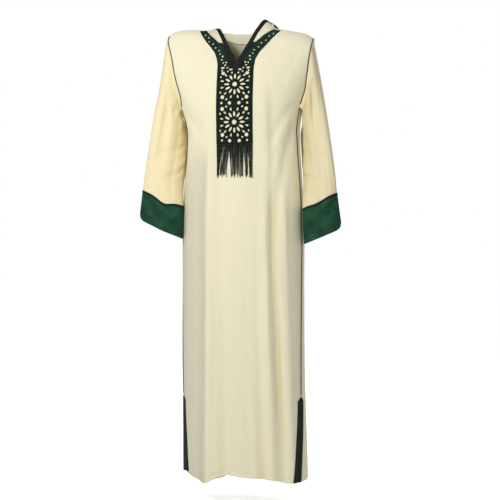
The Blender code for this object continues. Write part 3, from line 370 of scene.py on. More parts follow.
def point_at(points, lengths, at):
    """Point of a line at a running length."""
    return np.array([np.interp(at, lengths, column) for column in points.T])


def between(marks, counts):
    """Values through all marks with the given number of steps between neighbours."""
    line = [marks[0]]
    for a, b, n in zip(marks[:-1], marks[1:], counts):
        line += [a + (b - a) * k / n for k in range(1, n + 1)]
    return np.array(line)


# ---------------------------------------------------------------- creases
def crease_height(creases, x, z):
    """Narrow vertical creases that waver, fade in at their top and out at their foot."""
    total = np.zeros(np.broadcast(x, z).shape)
    for n, (x_waist, x_hem, top, foot, height, half, waver) in enumerate(creases):
        share = np.clip((z + 0.45) / (-1.39 + 0.45), 0.0, 1.0)
        centre = x_waist + (x_hem - x_waist) * share + waver * (np.sin(z * 17 + n * 2.1) + 0.5 * np.sin(z * 41 + n))
        fade = ease((top - z) / 0.16) * ease((z - foot + 0.10) / 0.14)
        total = total + height * (0.75 + 0.25 * np.sin(z * 9 + n * 1.7)) * fade * bell(x - centre, half)
    return total


def slanted(x, y, to_x, to_y, height, half, bend, fade):
    """Soft ridge along a slanted line from 0, 0; bend is the size, speed and phase of its sway, and fade is where
    along it and over what share it comes in, and where and over what share it ends."""
    length = math.hypot(to_x, to_y)
    share = (x * to_x + y * to_y) / length**2
    off = (x * to_y - y * to_x) / length + bend[0] * np.sin(share * bend[1] + bend[2])
    return height * ease((share - fade[0]) / fade[1]) * ease((fade[2] - share) / fade[3]) * bell(off, half)


def drag_height(drags, x, z):
    return sum(slanted(x - x0, z - z0, x1 - x0, z1 - z0, height, half, (-0.006, 4, 0), (0, 0.25, 1.25, 0.7))
               for x0, z0, x1, z1, height, half in drags)


def ring_height(creases, row, angle):
    """Soft ridges and troughs along slanted lines on a sleeve; angles in degrees, rows as in the table."""
    per_row, per_degree = 0.072, 0.0011     # metres of sleeve, about
    total = 0
    for row0, deg0, row1, deg1, height, half in creases:
        girth = ((np.degrees(angle) - deg0 + 180) % 360 - 180) * per_degree
        total = total + slanted((row - row0) * per_row, girth, (row1 - row0) * per_row, (deg1 - deg0) * per_degree,
                                height, half, (-0.004, 5, height * 900), (-0.15, 0.35, 1.15, 0.35))
    return total


def hood_height(side, t, s):
    down = 0.5              # a step down a row counts half of one along the seam
    return sum(slanted(t - t0, (s - s0) * down, t1 - t0, (s1 - s0) * down, height, half, (0.008, 5, side),
                       (-0.1, 0.35, 1.1, 0.35)) for t0, s0, t1, s1, height, half in HOOD_CREASES)


def fold_height(folds, x, z):
    """Height of the folds at x, z: soft crests and troughs that fade in down the skirt."""
    total = np.zeros(np.broadcast(x, z).shape)
    level = FOLD_LEVELS[::-1]
    for xa, xb, xc, ha, hb, hc, half in folds:
        total = total + np.interp(z, level, (hc, hb, ha)) * bell(x - np.interp(z, level, (xc, xb, xa)), half)
    return total * ease((-0.14 - z) / 0.16)


def calm_edge(x, z):
    """Fine creases die out under the cutwork and at the side seams, where the cords lie."""
    half, centre = section(z)[:2]
    under = 1 - 0.8 * ease((0.074 - np.abs(x - CENTRE_X)) / 0.02) * ease((z + 0.40) / 0.05)
    return under * ease((half - np.abs(x - centre)) / (0.10 * half))


def front_height(x, z):
    return fold_height(FRONT_FOLDS, x, z) + calm_edge(x, z) * (
        crease_height(FRONT_CREASES, x, z) + drag_height(FRONT_DRAGS, x, z))


def back_height(x, z):
    return fold_height(BACK_FOLDS, x, z) + calm_edge(x, z) * (
        BACK_DEPTH[0] * crease_height(BACK_CREASES, x, z) + BACK_DEPTH[1] * drag_height(BACK_DRAGS, x, z))


# ---------------------------------------------------------------- body surface
def ridge(x):
    return np.where(np.asarray(x) < 0, curve(RIDGE, 1, np.abs(x)), curve(RIDGE, 2, np.abs(x)))


def section(z):
    """Half width, centre, front depth, back depth and squareness at height z."""
    return [curve(BODY, column, z) for column in range(1, 6)]


def skin(face, turn, z):
    """Point of the body at an angle from the middle of the front (face -1) or back (face +1)."""
    half, centre, front, back, square = section(z)
    q = np.sin(turn)
    ahead = -face * np.cos(turn) >= 0
    w = (1 - np.minimum(np.abs(q), 0.99999) ** square) ** (1 / square)
    x = centre + half * q
    drop = np.clip((ridge(x) - z) / RIDGE_ROUND, 0.0, 1.0)
    depth = np.where(ahead, front, back)
    toward = np.where(ahead, -1.0, 1.0)
    y = toward * depth * w * np.sqrt(1 - (1 - drop) ** 2)
    out = unit(np.stack([np.sign(q) * np.abs(q) ** (square - 1) / half, toward * w ** (square - 1) / depth], -1))
    folds = np.where(ahead, front_height(x, z), back_height(x, z))
    return np.stack([x + out[..., 0] * folds, y + out[..., 1] * folds, z + 0 * x], axis=-1)


def skin_x(face, x, z):
    """Point of the front or back surface at x and height z."""
    half, centre = section(z)[:2]
    return skin(face, np.arcsin(np.clip((x - centre) / half, -0.9999, 0.9999)), z)


def skin_x_normal(face, x, z):
    step = 0.003
    across = skin_x(face, x + step, z) - skin_x(face, x - step, z)
    up = skin_x(face, x, z + step) - skin_x(face, x, z - step)
    return unit(np.cross(across, up)) * -face


def skin_out(face, turn, z):
    """Outward normal of the body at an angle and height."""
    across = skin(face, turn + 0.02, z) - skin(face, turn - 0.02, z)
    up = skin(face, turn, z + 0.002) - skin(face, turn, z - 0.002)
    return unit(np.cross(across, up)) * -face


def edge_turn(face, side, z):
    """Angle of a panel's side edge: the side seam below the underarm, the armhole above it."""
    half, centre, _, _, square = section(z)
    lean = np.radians(curve(SIDE_SEAM, 2 if side > 0 else 1, z))
    seam = np.arcsin(np.cos(lean) ** (2 / square))
    if face > 0:
        seam = np.pi - seam
    below = np.clip((SLIT_TOP_Z - z) / 0.25, 0.0, 1.0)
    seam = seam - (SLIT_OPEN[0] + (SLIT_OPEN[1] - SLIT_OPEN[0]) * below) * (z < SLIT_TOP_Z) / SEAM_SPEED
    column = 3 if face > 0 else (2 if side > 0 else 1)
    arm = np.arcsin(np.clip((side * curve(ARMHOLE, column, z) - centre) * side / half, -1, 1))
    rise = np.clip((z - UNDERARM_Z) / ARMHOLE_ROUND, 0.0, 1.0)
    return seam + (arm - seam) * np.sqrt(rise * (2 - rise))


def column_turn(face, c, z):
    """Angle of column c at height z: -1 and 1 are the side edges, 0 the middle."""
    turn = np.zeros(np.broadcast(c, z).shape)
    for side in (-1, 1):
        edge = edge_turn(face, side, z)
        calm = edge_turn(face, side, np.minimum(z, UNDERARM_Z))
        high = edge_turn(face, side, np.maximum(z, UNDERARM_Z + ARMHOLE_ROUND))
        calm = calm + (high - calm) * ease((z - UNDERARM_Z + 0.05) / 0.17)
        reach = np.clip(c * side, 0, 1)
        turn = turn + side * (calm * reach + (edge - calm) * reach**5)
    return turn


def column_x(face, c, z):
    half, centre = section(z)[:2]
    return centre + half * np.sin(column_turn(face, c, z))


def top_z(face, x):
    """Top edge of a panel: neckline inside NECK_X, shoulder ridge beyond."""
    reach = np.abs(x)
    if face < 0:
        line = np.interp(reach, (0.0, V_TOP[0], TIP[0], NECK_X), (V_POINT_Z, V_TOP[1], TIP[1], ridge(NECK_X)))
    else:
        line = BACK_NECK_Z + (ridge(NECK_X) - BACK_NECK_Z) * (reach / NECK_X) ** 2
    return np.where(reach < NECK_X, line, ridge(x))


def column_top(face, c):
    z = np.full(np.shape(c), -0.03)
    for _ in range(20):
        z = 0.4 * z + 0.6 * top_z(face, column_x(face, c, z))
    return z


def column_of(face, x):
    """The column whose top end stands at x."""
    low, high = -1.0, 1.0
    for _ in range(22):
        middle = np.array([0.5 * (low + high)])
        if column_x(face, middle, column_top(face, middle))[0] < x:
            low = middle[0]
        else:
            high = middle[0]
    return 0.5 * (low + high)


# ---------------------------------------------------------------- mesh builders
def put(name, data):
    piece = bpy.data.objects.new(name, data)
    bpy.context.scene.collection.objects.link(piece)
    return piece


def mesh_piece(name, points, faces, uv, mat, node=None, sharp=50):
    """A piece from faces of any size, turned to face out; uv holds one pair per face corner, in metres."""
    mesh = bpy.data.meshes.new(name)
    mesh.from_pydata(np.asarray(points).tolist(), [], [list(map(int, f)) for f in faces])
    mesh.uv_layers.new(name="cloth").data.foreach_set("uv", np.asarray(uv, dtype=np.float32).ravel())
    mesh.polygons.foreach_set("use_smooth", [True] * len(mesh.polygons))
    mesh.set_sharp_from_angle(angle=math.radians(sharp))
    mesh.materials.append(mat)
    work = bmesh.new()
    work.from_mesh(mesh)
    bmesh.ops.recalc_face_normals(work, faces=work.faces)
    work.to_mesh(mesh)
    work.free()
    piece = put(name, mesh)
    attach(piece, "root")
    if node:
        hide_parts(node)
    return piece


def arc(grid, axis):
    """Running length along one axis of a grid."""
    steps = np.linalg.norm(np.diff(grid, axis=axis), axis=-1)
    total = np.cumsum(steps, axis=axis)
    pad = [(0, 0), (0, 0)]
    pad[axis] = (1, 0)
    return np.pad(total, pad)


def sheet_piece(name, outer, out, thick, mat, node=None, slot=None, closed=False):
    """A two layered sheet under a grid of outer points, rims closed, with uv along the cloth.

    thick is one number, or one for each row; closed joins the last column to the first.
    """
    rows, columns = outer.shape[:2]
    inner = outer - out * np.reshape(thick, (-1, 1, 1))
    points = np.concatenate([outer.reshape(-1, 3), inner.reshape(-1, 3)])
    shift = rows * columns
    loop = np.concatenate([outer, outer[:, :1]], axis=1) if closed else outer
    u, v = arc(loop, 1), arc(loop, 0)
    u = u - u[:, u.shape[1] // 2][:, None]
    wide = loop.shape[1]
    r, c = [grid.ravel() for grid in np.meshgrid(np.arange(rows - 1), np.arange(wide - 1), indexing="ij")]
    r, c = np.stack([r, r, r + 1, r + 1], -1), np.stack([c, c + 1, c + 1, c], -1)
    index, pair = r * columns + c % columns, np.stack([u[r, c], v[r, c]], axis=-1)
    a, b, _, d = points[index[len(index) // 2]]
    if np.dot(np.cross(b - a, d - a), out.reshape(-1, 3)[index[len(index) // 2, 0]]) < 0:
        index, pair = index[:, ::-1], pair[:, ::-1]
    rims, rim_uv = [], []
    lines = [[(row, k) for k in range(wide)] for row in (0, rows - 1)]
    if not closed:
        lines += [[(k, column) for k in range(rows)] for column in (0, columns - 1)]
    for line in lines:
        for p, q in zip(line[:-1], line[1:]):
            ip, iq = p[0] * columns + p[1] % columns, q[0] * columns + q[1] % columns
            rims.append((ip, iq, iq + shift, ip + shift))
            rim_uv.append([(u[p], v[p]), (u[q], v[q]), (u[q], v[q]), (u[p], v[p])])
    faces = np.concatenate([index, index[:, ::-1] + shift, rims])
    return mesh_piece(name, points, faces, np.concatenate([pair, pair[:, ::-1], rim_uv]), mat, node)


def tube_points(centre, out, across, radius, sides, start=0.0, twist=0.0):
    """Rings of points round a path; radius is one number, or one for each ring."""
    angle = start + 2 * np.pi * np.arange(sides) / sides + twist * np.arange(len(centre))[:, None]
    spoke = out[:, None] * np.cos(angle)[..., None] + across[:, None] * np.sin(angle)[..., None]
    return (centre[:, None] + spoke * np.reshape(radius, (-1, 1, 1))).reshape(-1, 3)


def tube_faces(first, rows, sides):
    """Faces of a tube whose rings start at point first, then its two caps."""
    faces = [(a + k, a + (k + 1) % sides, a + sides + (k + 1) % sides, a + sides + k)
             for a in range(first, first + (rows - 1) * sides, sides) for k in range(sides)]
    return faces + [tuple(range(a, a + sides)) for a in (first, first + (rows - 1) * sides)]


def tube_uv(run, wide, sides):
    """uv of a tube's faces and caps from the running length at each ring and the width of a face."""
    pairs = [pair for a, b in zip(run[:-1], run[1:]) for k in range(sides)
             for pair in ((k * wide, a), ((k + 1) * wide, a), ((k + 1) * wide, b), (k * wide, b))]
    return pairs + [(k * wide, end) for end in (run[0], run[-1]) for k in range(sides)]


def cord_piece(name, path, normals, radius, lift, sides, mat, node):
    """A cord that lies on a path, lifted out along the normals."""
    tangents = unit(np.gradient(path, axis=0))
    out = unit(normals - tangents * np.sum(normals * tangents, axis=1, keepdims=True))
    points = tube_points(path + out * (radius + lift), out, np.cross(tangents, out), radius, sides)
    uv = tube_uv(running(path), 2 * math.pi * radius / sides, sides)
    return mesh_piece(name, points, tube_faces(0, len(path), sides), uv, mat, node)


def stitches(name, path, normals, mat, length=0.0030, gap=0.0012, radius=0.00022, lift=-0.0001):
    """A row of short stitches along a path."""
    run, leans = running(path), unit(normals)
    rise = np.array((-0.7, 0.6, 1.0, 0.6, -0.7))
    points, faces, pairs = [], [], []
    for place in np.arange(0.0005, run[-1] - length, length + gap):
        at = np.array([point_at(path, run, place + share * length) for share in (0, 0.18, 0.5, 0.82, 1)])
        out = unit(point_at(leans, run, place + 0.5 * length))
        across = unit(np.cross(at[4] - at[0], out))
        faces += tube_faces(len(points), len(rise), 4)
        pairs += [(0, 0), (0.001, 0), (0.001, 0.001), (0, 0.001)] * 16 + [(0, 0)] * 8
        points += list(tube_points(at + out * (lift + radius * rise)[:, None], out[None], across[None], radius, 4,
                                   start=math.pi / 4))
    return mesh_piece(name, points, faces, pairs, mat)


# ---------------------------------------------------------------- materials
def start(name, roughness, **sockets):
    made = bpy.data.materials.new(name)
    made.use_nodes = True
    tree = made.node_tree
    shader = tree.nodes["Principled BSDF"]
    shader.inputs["Roughness"].default_value = roughness
    for socket, value in sockets.items():
        shader.inputs[socket.replace("_", " ")].default_value = value
    return made, tree, shader


def add(tree, kind, vector=None, **values):
    """A node, with its settings or unlinked sockets by name."""
    node = tree.nodes.new(kind)
    for key, value in values.items():
        if hasattr(node, key):
            setattr(node, key, value)
        else:
            node.inputs[key].default_value = value
    if vector is not None:
        tree.links.new(vector, node.inputs["Vector"])
    return node


def uv_scaled(tree, across, along):
    place = add(tree, "ShaderNodeUVMap", uv_map="cloth")
    return add(tree, "ShaderNodeMapping", place.outputs["UV"], Scale=(across, along, 1.0)).outputs["Vector"]


def noise(tree, vector, scale, detail=2.0, roughness=0.5):
    return add(tree, "ShaderNodeTexNoise", vector, Scale=scale, Detail=detail, Roughness=roughness).outputs["Fac"]


def bands(tree, vector, direction, **values):
    return add(tree, "ShaderNodeTexWave", vector, wave_type="BANDS", bands_direction=direction, **values).outputs["Fac"]


def ramp(tree, value, stops):
    node = tree.nodes.new("ShaderNodeValToRGB")
    node.color_ramp.elements[0].position, node.color_ramp.elements[-1].position = stops[0][0], stops[-1][0]
    node.color_ramp.elements[0].color, node.color_ramp.elements[-1].color = (*stops[0][1], 1), (*stops[-1][1], 1)
    for position, colour in stops[1:-1]:
        node.color_ramp.elements.new(position).color = (*colour, 1)
    tree.links.new(value, node.inputs["Fac"])
    return node.outputs["Color"]


def mix(tree, share, a, b):
    """The share and a are outputs, b is a colour."""
    node = add(tree, "ShaderNodeMix", data_type="RGBA")
    tree.links.new(share, node.inputs[0])
    tree.links.new(a, node.inputs[6])
    node.inputs[7].default_value = (*b, 1)
    return node.outputs[2]


def fleck(tree, value, low, high, most, tone, colour):
    """Mix in a colour, from none where the value is low to the most where it is high."""
    return mix(tree, ramp(tree, value, ((low, (0, 0, 0)), (high, (most,) * 3))), tone, colour)


def painted(tree, layer, tone, colour):
    """Mix in a colour by the amount that a piece holds at each point."""
    return mix(tree, add(tree, "ShaderNodeAttribute", attribute_name=layer).outputs["Fac"], tone, colour)


def dress(tree, shader, tone, *bumps):
    """Link the tone and the bumps, each a height output and a distance in metres."""
    tree.links.new(tone, shader.inputs["Base Color"])
    normal = None
    for height, distance in bumps:
        node = add(tree, "ShaderNodeBump", Strength=1.0, Distance=distance)
        tree.links.new(height, node.inputs["Height"])
        if normal:
            tree.links.new(normal, node.inputs["Normal"])
        normal = node.outputs["Normal"]
    tree.links.new(normal, shader.inputs["Normal"])


def tint(piece, name, values):
    """A named amount from 0 to 1 at each point of both faces of a sheet."""
    layer = piece.data.attributes.new(name, "FLOAT", "POINT")
    layer.data.foreach_set("value", np.tile(np.clip(values, 0, 1).ravel(), 2).astype(np.float32))


def crepe(name, light, dark, shade, deep, painted_side_shade):
    """Matt crepe: slightly pebbled, fine vertical crinkles, faint blotches of tone, with painted shade from two layers:
    ochre in the folds, grey on the sides turned from the light.
    """
    made, tree, shader = start(name, 0.84, Sheen_Weight=0.18, Sheen_Roughness=0.55, Specular_IOR_Level=0.28)
    plain = uv_scaled(tree, 1, 1)
    tone = ramp(tree, noise(tree, uv_scaled(tree, 7.0, 2.2), 1.0, 3.0), ((0.30, dark), (0.70, light)))
    streak = noise(tree, uv_scaled(tree, 150.0, 9.0), 1.0, 3.0, 0.6)
    crinkle = noise(tree, uv_scaled(tree, 62.0, 5.0), 1.0, 2.0, 0.5)
    grain = noise(tree, plain, 1500.0, 2.0, 0.6)
    tone = fleck(tree, streak, 0.35, 0.75, 0.22, tone, shade)
    tone = fleck(tree, grain, 0.30, 0.80, 0.16, tone, shade)
    # painted shade: the 'fold' layer mixes in the ochre shade colour, the 'side' layer the grey one
    tone = painted(tree, "side", painted(tree, "fold", tone, deep), painted_side_shade)
    weave = add(tree, "ShaderNodeMath", operation="MULTIPLY")
    for socket, direction in zip(weave.inputs, "XY"):
        tree.links.new(bands(tree, plain, direction, Scale=320.0, Distortion=0.6), socket)
    dress(tree, shader, tone, (weave.outputs[0], 0.00006), (grain, 0.00012), (streak, 0.00035), (crinkle, 0.0010))
    tree.links.new(ramp(tree, grain, ((0.2, (0.78,) * 3), (0.8, (0.92,) * 3))), shader.inputs["Roughness"])
    return made


def velvet(name, light, dark, deep, sheen, rim=None):
    """Short pile: mottled where the nap lies over, with a soft sheen; the rim's colour goes on by the layer edge."""
    made, tree, shader = start(name, 0.78, Sheen_Weight=sheen, Sheen_Roughness=0.30, Specular_IOR_Level=0.20,
                               Sheen_Tint=(0.55, 0.85, 0.68, 1.0))
    plain = uv_scaled(tree, 1, 1)
    patches = noise(tree, plain, 26.0, 3.0, 0.6)
    brushed = noise(tree, uv_scaled(tree, 70, 240), 1.0, 2.0, 0.6)
    nap = noise(tree, plain, 2600.0, 1.0, 0.5)
    tone = ramp(tree, patches, ((0.34, deep), (0.50, dark), (0.68, light)))
    tone = fleck(tree, brushed, 0.35, 0.75, 0.35, tone, deep)
    tone = fleck(tree, nap, 0.30, 0.80, 0.25, tone, deep)
    if rim:
        tone = painted(tree, "edge", tone, rim)
    dress(tree, shader, tone, (nap, 0.00022), (brushed, 0.00018), (patches, 0.0009))
    return made


def dark_cloth(name, colour, worn, sheen=0.0, rib=0.0):
    made, tree, shader = start(name, 0.62, Sheen_Weight=sheen, Sheen_Roughness=0.4, Specular_IOR_Level=0.22)
    plain = uv_scaled(tree, 1, 1)
    fine = noise(tree, plain, 1400.0, 2.0, 0.6)
    tone = ramp(tree, noise(tree, plain, 40.0, 3.0, 0.6), ((0.35, colour), (0.75, worn)))
    tone = fleck(tree, fine, 0.35, 0.75, 0.40, tone, colour)
    ribs = [(bands(tree, plain, "DIAGONAL", Scale=rib), 0.00012)] if rib else []
    dress(tree, shader, tone, (fine, 0.00010), *ribs)
    tree.links.new(ramp(tree, fine, ((0.2, (0.52,) * 3), (0.8, (0.74,) * 3))), shader.inputs["Roughness"])
    return made


# The last two colours of each crepe are painted shade: ochre for the folds and under the arms, grey for the sides
# turned from the light. The sleeve crepe is the robe's cloth painted yellower, a painted glow of light through the thin
# sleeve cloth.
robe_cloth = crepe("robe_crepe", (0.835, 0.790, 0.580), (0.805, 0.757, 0.540), (0.70, 0.63, 0.42),
                   (0.60, 0.51, 0.27), (0.60, 0.565, 0.435))
sleeve_cloth = crepe("sleeve_crepe", (0.870, 0.775, 0.490), (0.840, 0.735, 0.440), (0.74, 0.61, 0.32),
                     (0.60, 0.44, 0.13), (0.60, 0.55, 0.40))
cuff_velvet = velvet("cuff_velvet", (0.016, 0.092, 0.044), (0.010, 0.062, 0.030), (0.005, 0.030, 0.015), 0.30)
cutwork_velvet = velvet("cutwork_velvet_cloth", (0.010, 0.052, 0.028), (0.005, 0.026, 0.015),
                        (0.003, 0.010, 0.007), 0.03, rim=(0.0022, 0.0036, 0.0030))
black_cloth = dark_cloth("black_satin", (0.0035, 0.0050, 0.0045), (0.010, 0.016, 0.014), rib=500.0)
black_band = dark_cloth("black_band_cloth", (0.0035, 0.0060, 0.0050), (0.010, 0.022, 0.016), rib=380.0)
yarn = dark_cloth("fringe_yarn", (0.0030, 0.0055, 0.0045), (0.012, 0.024, 0.016), 0.04, rib=900.0)
thread = dark_cloth("cream_thread", (0.62, 0.55, 0.38), (0.78, 0.72, 0.54))
dark_thread = dark_cloth("dark_thread", (0.006, 0.012, 0.009), (0.02, 0.04, 0.03))

# ---------------------------------------------------------------- front and back
UPPER = 60              # rows above the underarm
LOWER = 104             # rows below it
AROUND = 2 * UPPER      # columns round a sleeve
ANGLES = turns(AROUND)
HEM_ROWS = (0.0, 0.0025, 0.006, 0.010, 0.0135, 0.0148, 0.0156, 0.0175, 0.022, 0.028)     # heights above the edge
HEM_FACING_ROW = 9      # where the hem's facing ends
HEM_FOLD = 6            # rows that are folded double; the stitches run on the last
PEEP = (0.0044, -0.048, 0.022)  # how far the front's facing shows under the edge, and its middle and half width


def hem_roll(d):
    """Groove pulled in by the hem's stitching and the rounded fold at the foot."""
    return 0.0007 * math.exp(-((d - 0.0150) / 0.0016) ** 2) + 0.0006 * math.exp(-(d / 0.0015) ** 2)


def fine_grid(face, columns, hem):
    tops = column_top(face, columns)
    foot = np.array([np.interp(c, *zip(*hem)) for c in columns])
    start_z = foot + HEM_ROWS[-1]
    rows = [foot + d for d in HEM_ROWS]
    rows += [start_z + (UNDERARM_Z - start_z) * k / LOWER for k in range(1, LOWER)]
    rows += [UNDERARM_Z + (tops - UNDERARM_Z) * (1 - math.cos(math.pi * k / UPPER)) / 2 for k in range(UPPER + 1)]
    z = np.array(rows)
    grid = skin(face, column_turn(face, np.broadcast_to(columns, z.shape), z), z)
    drop = np.array([hem_roll(d) for d in HEM_ROWS] + [0.0] * (len(z) - len(HEM_ROWS)))
    return grid - grid_normals(grid) * -face * drop[:, None, None]


V_COLUMNS = [column_of(-1, x) for x in (-NECK_X, -TIP[0], -V_TOP[0], 0.0, V_TOP[0], TIP[0], NECK_X)]
NECK_COLUMNS = [column_of(1, x) for x in (-NECK_X, 0.0, NECK_X)]
front = fine_grid(-1, between([-1.0, *V_COLUMNS, 1.0], [8 * n for n in (5, 2, 1, 2, 2, 1, 2, 5)]), FRONT_HEM)
back = fine_grid(1, between([-1.0, *NECK_COLUMNS, 1.0], [8 * n for n in (6, 4, 4, 6)]), BACK_HEM)
front_out, back_out = grid_normals(front), -grid_normals(back)

# ---------------------------------------------------------------- sleeves
SLEEVES = {side: tuple((k, *values) for k, values in enumerate(table))
           for side, table in ((-1, SLEEVE_RIGHT), (1, SLEEVE_LEFT))}


def armhole(side, angle):
    """Armhole loop: 0 at the shoulder, pi under the arm, the front between them."""
    loops = []
    for face in (-1, 1):
        top = column_top(face, np.array([float(side)]))[0]
        z = UNDERARM_Z + (top - UNDERARM_Z) * (1 + np.cos(angle)) / 2
        loops.append(skin(face, side * edge_turn(face, side, z), z))
    return np.where((np.sin(angle) >= -1e-9)[..., None], *loops)


def ring_shape(side, row, angle):
    """Flattened tube around the table's outer and inner points."""
    outer_x, outer_z, inner_x, inner_z, centre_y, deep, back_lean = [curve(SLEEVES[side], k, row) for k in range(1, 8)]
    close, near, far = SLEEVE_CLOSE[side]
    inner_x = inner_x - close * ease((row - near) / 1.4) * ease((far - row) / 1.5)
    along, swing = np.cos(angle), np.sin(angle)
    fold = 1 + SLEEVE_FOLD[1] * bell(along - SLEEVE_FOLD[0], 0.22) * np.clip(row / 4, 0, 1)
    corner = np.exp(-(1 - along) / 0.09) * ease((row - CUFF_ROW) / (END_ROW - CUFF_ROW))
    sag = CUFF_SAG[0 if side < 0 else 1] * np.clip(swing, 0, 1) * bell(along + 0.15, 0.45) * bell(row - CUFF_ROW, 0.7)
    return np.stack([
        side * ((outer_x + inner_x) / 2 + (outer_x - inner_x) / 2 * along - CUFF_CORNER[1] * corner),
        centre_y - deep * np.sign(swing) * np.abs(swing) ** 0.9 * fold + back_lean * (1 - along) / 2,
        (outer_z + inner_z) / 2 + (outer_z - inner_z) / 2 * along + CUFF_CORNER[0] * corner - sag], axis=-1)


def sleeve_point(side, row, angle):
    """Point of the sleeve at a fractional ring row (0 = armhole, 9 = cuff end)."""
    row, angle = np.broadcast_arrays(np.asarray(row, dtype=float), np.asarray(angle, dtype=float))
    fade = (1 - ease(row / 3.5))[..., None]
    return ring_shape(side, row, angle) + (armhole(side, angle) - ring_shape(side, 0 * row, angle)) * fade


def sleeve_grid(side, rows, around=AROUND):
    """Outer points of a sleeve and the normals that point out of it."""
    grid = sleeve_point(side, np.array(rows)[:, None], turns(around)[None, :])
    return grid, grid_normals(grid, closed=True) * side


def share_normals(own, other):
    """Both walls of a seam lean to the middle, so their inner rims stay apart."""
    toward = np.clip((np.sum(own * other, axis=-1, keepdims=True) + 0.1) / 0.6, 0.0, 1.0)
    return unit(own + other * toward), unit(other + own * toward)


SLEEVE_ROWS = np.concatenate([np.linspace(0.0, 0.5, 8)[:-1], np.linspace(0.5, 7.9, 96), (7.95, CUFF_ROW)])
sleeves = {}
for side, _ in SIDES:
    grid, out = sleeve_grid(side, SLEEVE_ROWS)
    row = SLEEVE_ROWS[:, None]
    creases = [(a, b, c, d, h * SLEEVE_DEPTH, w) for a, b, c, d, h, w in SLEEVE_CREASES]
    if side > 0:            # the same creases elsewhere, so that the sleeves differ
        creases = [(a + 0.3, b + 6, c + 0.2, d - 8, h * 0.9, w) for a, b, c, d, h, w in creases]
    lift = ring_height(creases, row, ANGLES[None, :]) * ease(row / 0.5) * (1 - 0.6 * ease((row - 7.5) / 0.5))
    grid = grid + out * lift[..., None]
    out = grid_normals(grid, closed=True) * side
    edge = 0 if side < 0 else -1
    ring = out[0].copy()
    for k in range(UPPER + 1):
        at, behind = len(front) - 1 - k, (AROUND - k) % AROUND
        front_out[at, edge], made = share_normals(front_out[at, edge], ring[k])
        back_out[at, edge], made_back = share_normals(back_out[at, edge], ring[behind])
        out[0, k] = made
        out[0, behind] = made_back if 0 < k < UPPER else unit(made + made_back)
    out[0, UPPER] = unit(out[0, UPPER - 1] + out[0, UPPER] + out[0, UPPER + 1])
    grid[0] += unit(grid[1] - grid[0]) * SEAM_GAP * 2
    sleeves[side] = (grid, out)


# ---------------------------------------------------------------- cloth pieces
def shrink_edges(grid, gap):
    """Pull the side and top edges of a grid in by a seam gap."""
    made = grid.copy()
    for edge, inner in ((0, 1), (-1, -2)):
        made[:, edge] += unit(grid[:, inner] - grid[:, edge]) * gap
    made[-1] += unit(grid[-2] - grid[-1]) * gap
    return made


for edge in (0, -1):
    front_out[:-UPPER - 1, edge] = back_out[:-UPPER - 1, edge] = unit(
        front_out[:-UPPER - 1, edge] + back_out[:-UPPER - 1, edge])
thick = np.full(len(front), CREPE)
thick[:HEM_FOLD] = FOLDED
for name, grid, out, height, painted_side_shade, flat, area in (
        ("front", front, front_out, front_height, 1.0, (0.56, 1.41), 0.62),
        ("back", back, back_out, back_height, 0.3, (0.62, 1.41), 0.77)):
    shoulder = np.abs(grid[-1, :, 0]) > NECK_X - 0.001
    out[-1, shoulder] = unit(out[-1, shoulder] * (1, 0, 1))
    made = sheet_piece("cloth_" + name, shrink_edges(grid, SEAM_GAP), out, thick, robe_cloth, name + "_panel",
                       "robe_cloth")
    x, z = grid[..., 0], grid[..., 2]
    half, centre = section(z)[:2]
    reach = (x - centre) / half
    # painted shade: 'side' greys the wearer's right flank below the chest and, more weakly, the left flank low down,
    # where the cloth turns from the light, less on the back; 'fold' darkens the fold troughs to ochre
    side = painted_side_shade * (0.75 * ease((-reach - 0.50) / 0.07) * ease((-0.34 - z) / 0.14)
                   + 0.35 * ease((reach - 0.78) / 0.08) * ease((-0.46 - z) / 0.20))
    tint(made, "side", side)
    tint(made, "fold", 0.75 * np.clip(-height(x, z) / 0.014 - 0.15, 0, 1) * (1 - side))

UNDERARM_PAINTED_SHADE = {-1: 0.75, 1: 1.0}     # how dark the sleeve is under the arm
CUFF_HEM_ROW = 8.80


def dented(side, rows, rise):
    """Sleeve rows of the cuff with its dents, moved out by the rise at each row."""
    grid, out = sleeve_grid(side, rows)
    dents = ring_height(CUFF_DENTS, rows[:, None], ANGLES[None, :]) * ease((rows[:, None] - CUFF_ROW) / 0.25)
    grid = grid + out * (rise[:, None] + dents)[..., None]
    return grid, grid_normals(grid, closed=True) * side


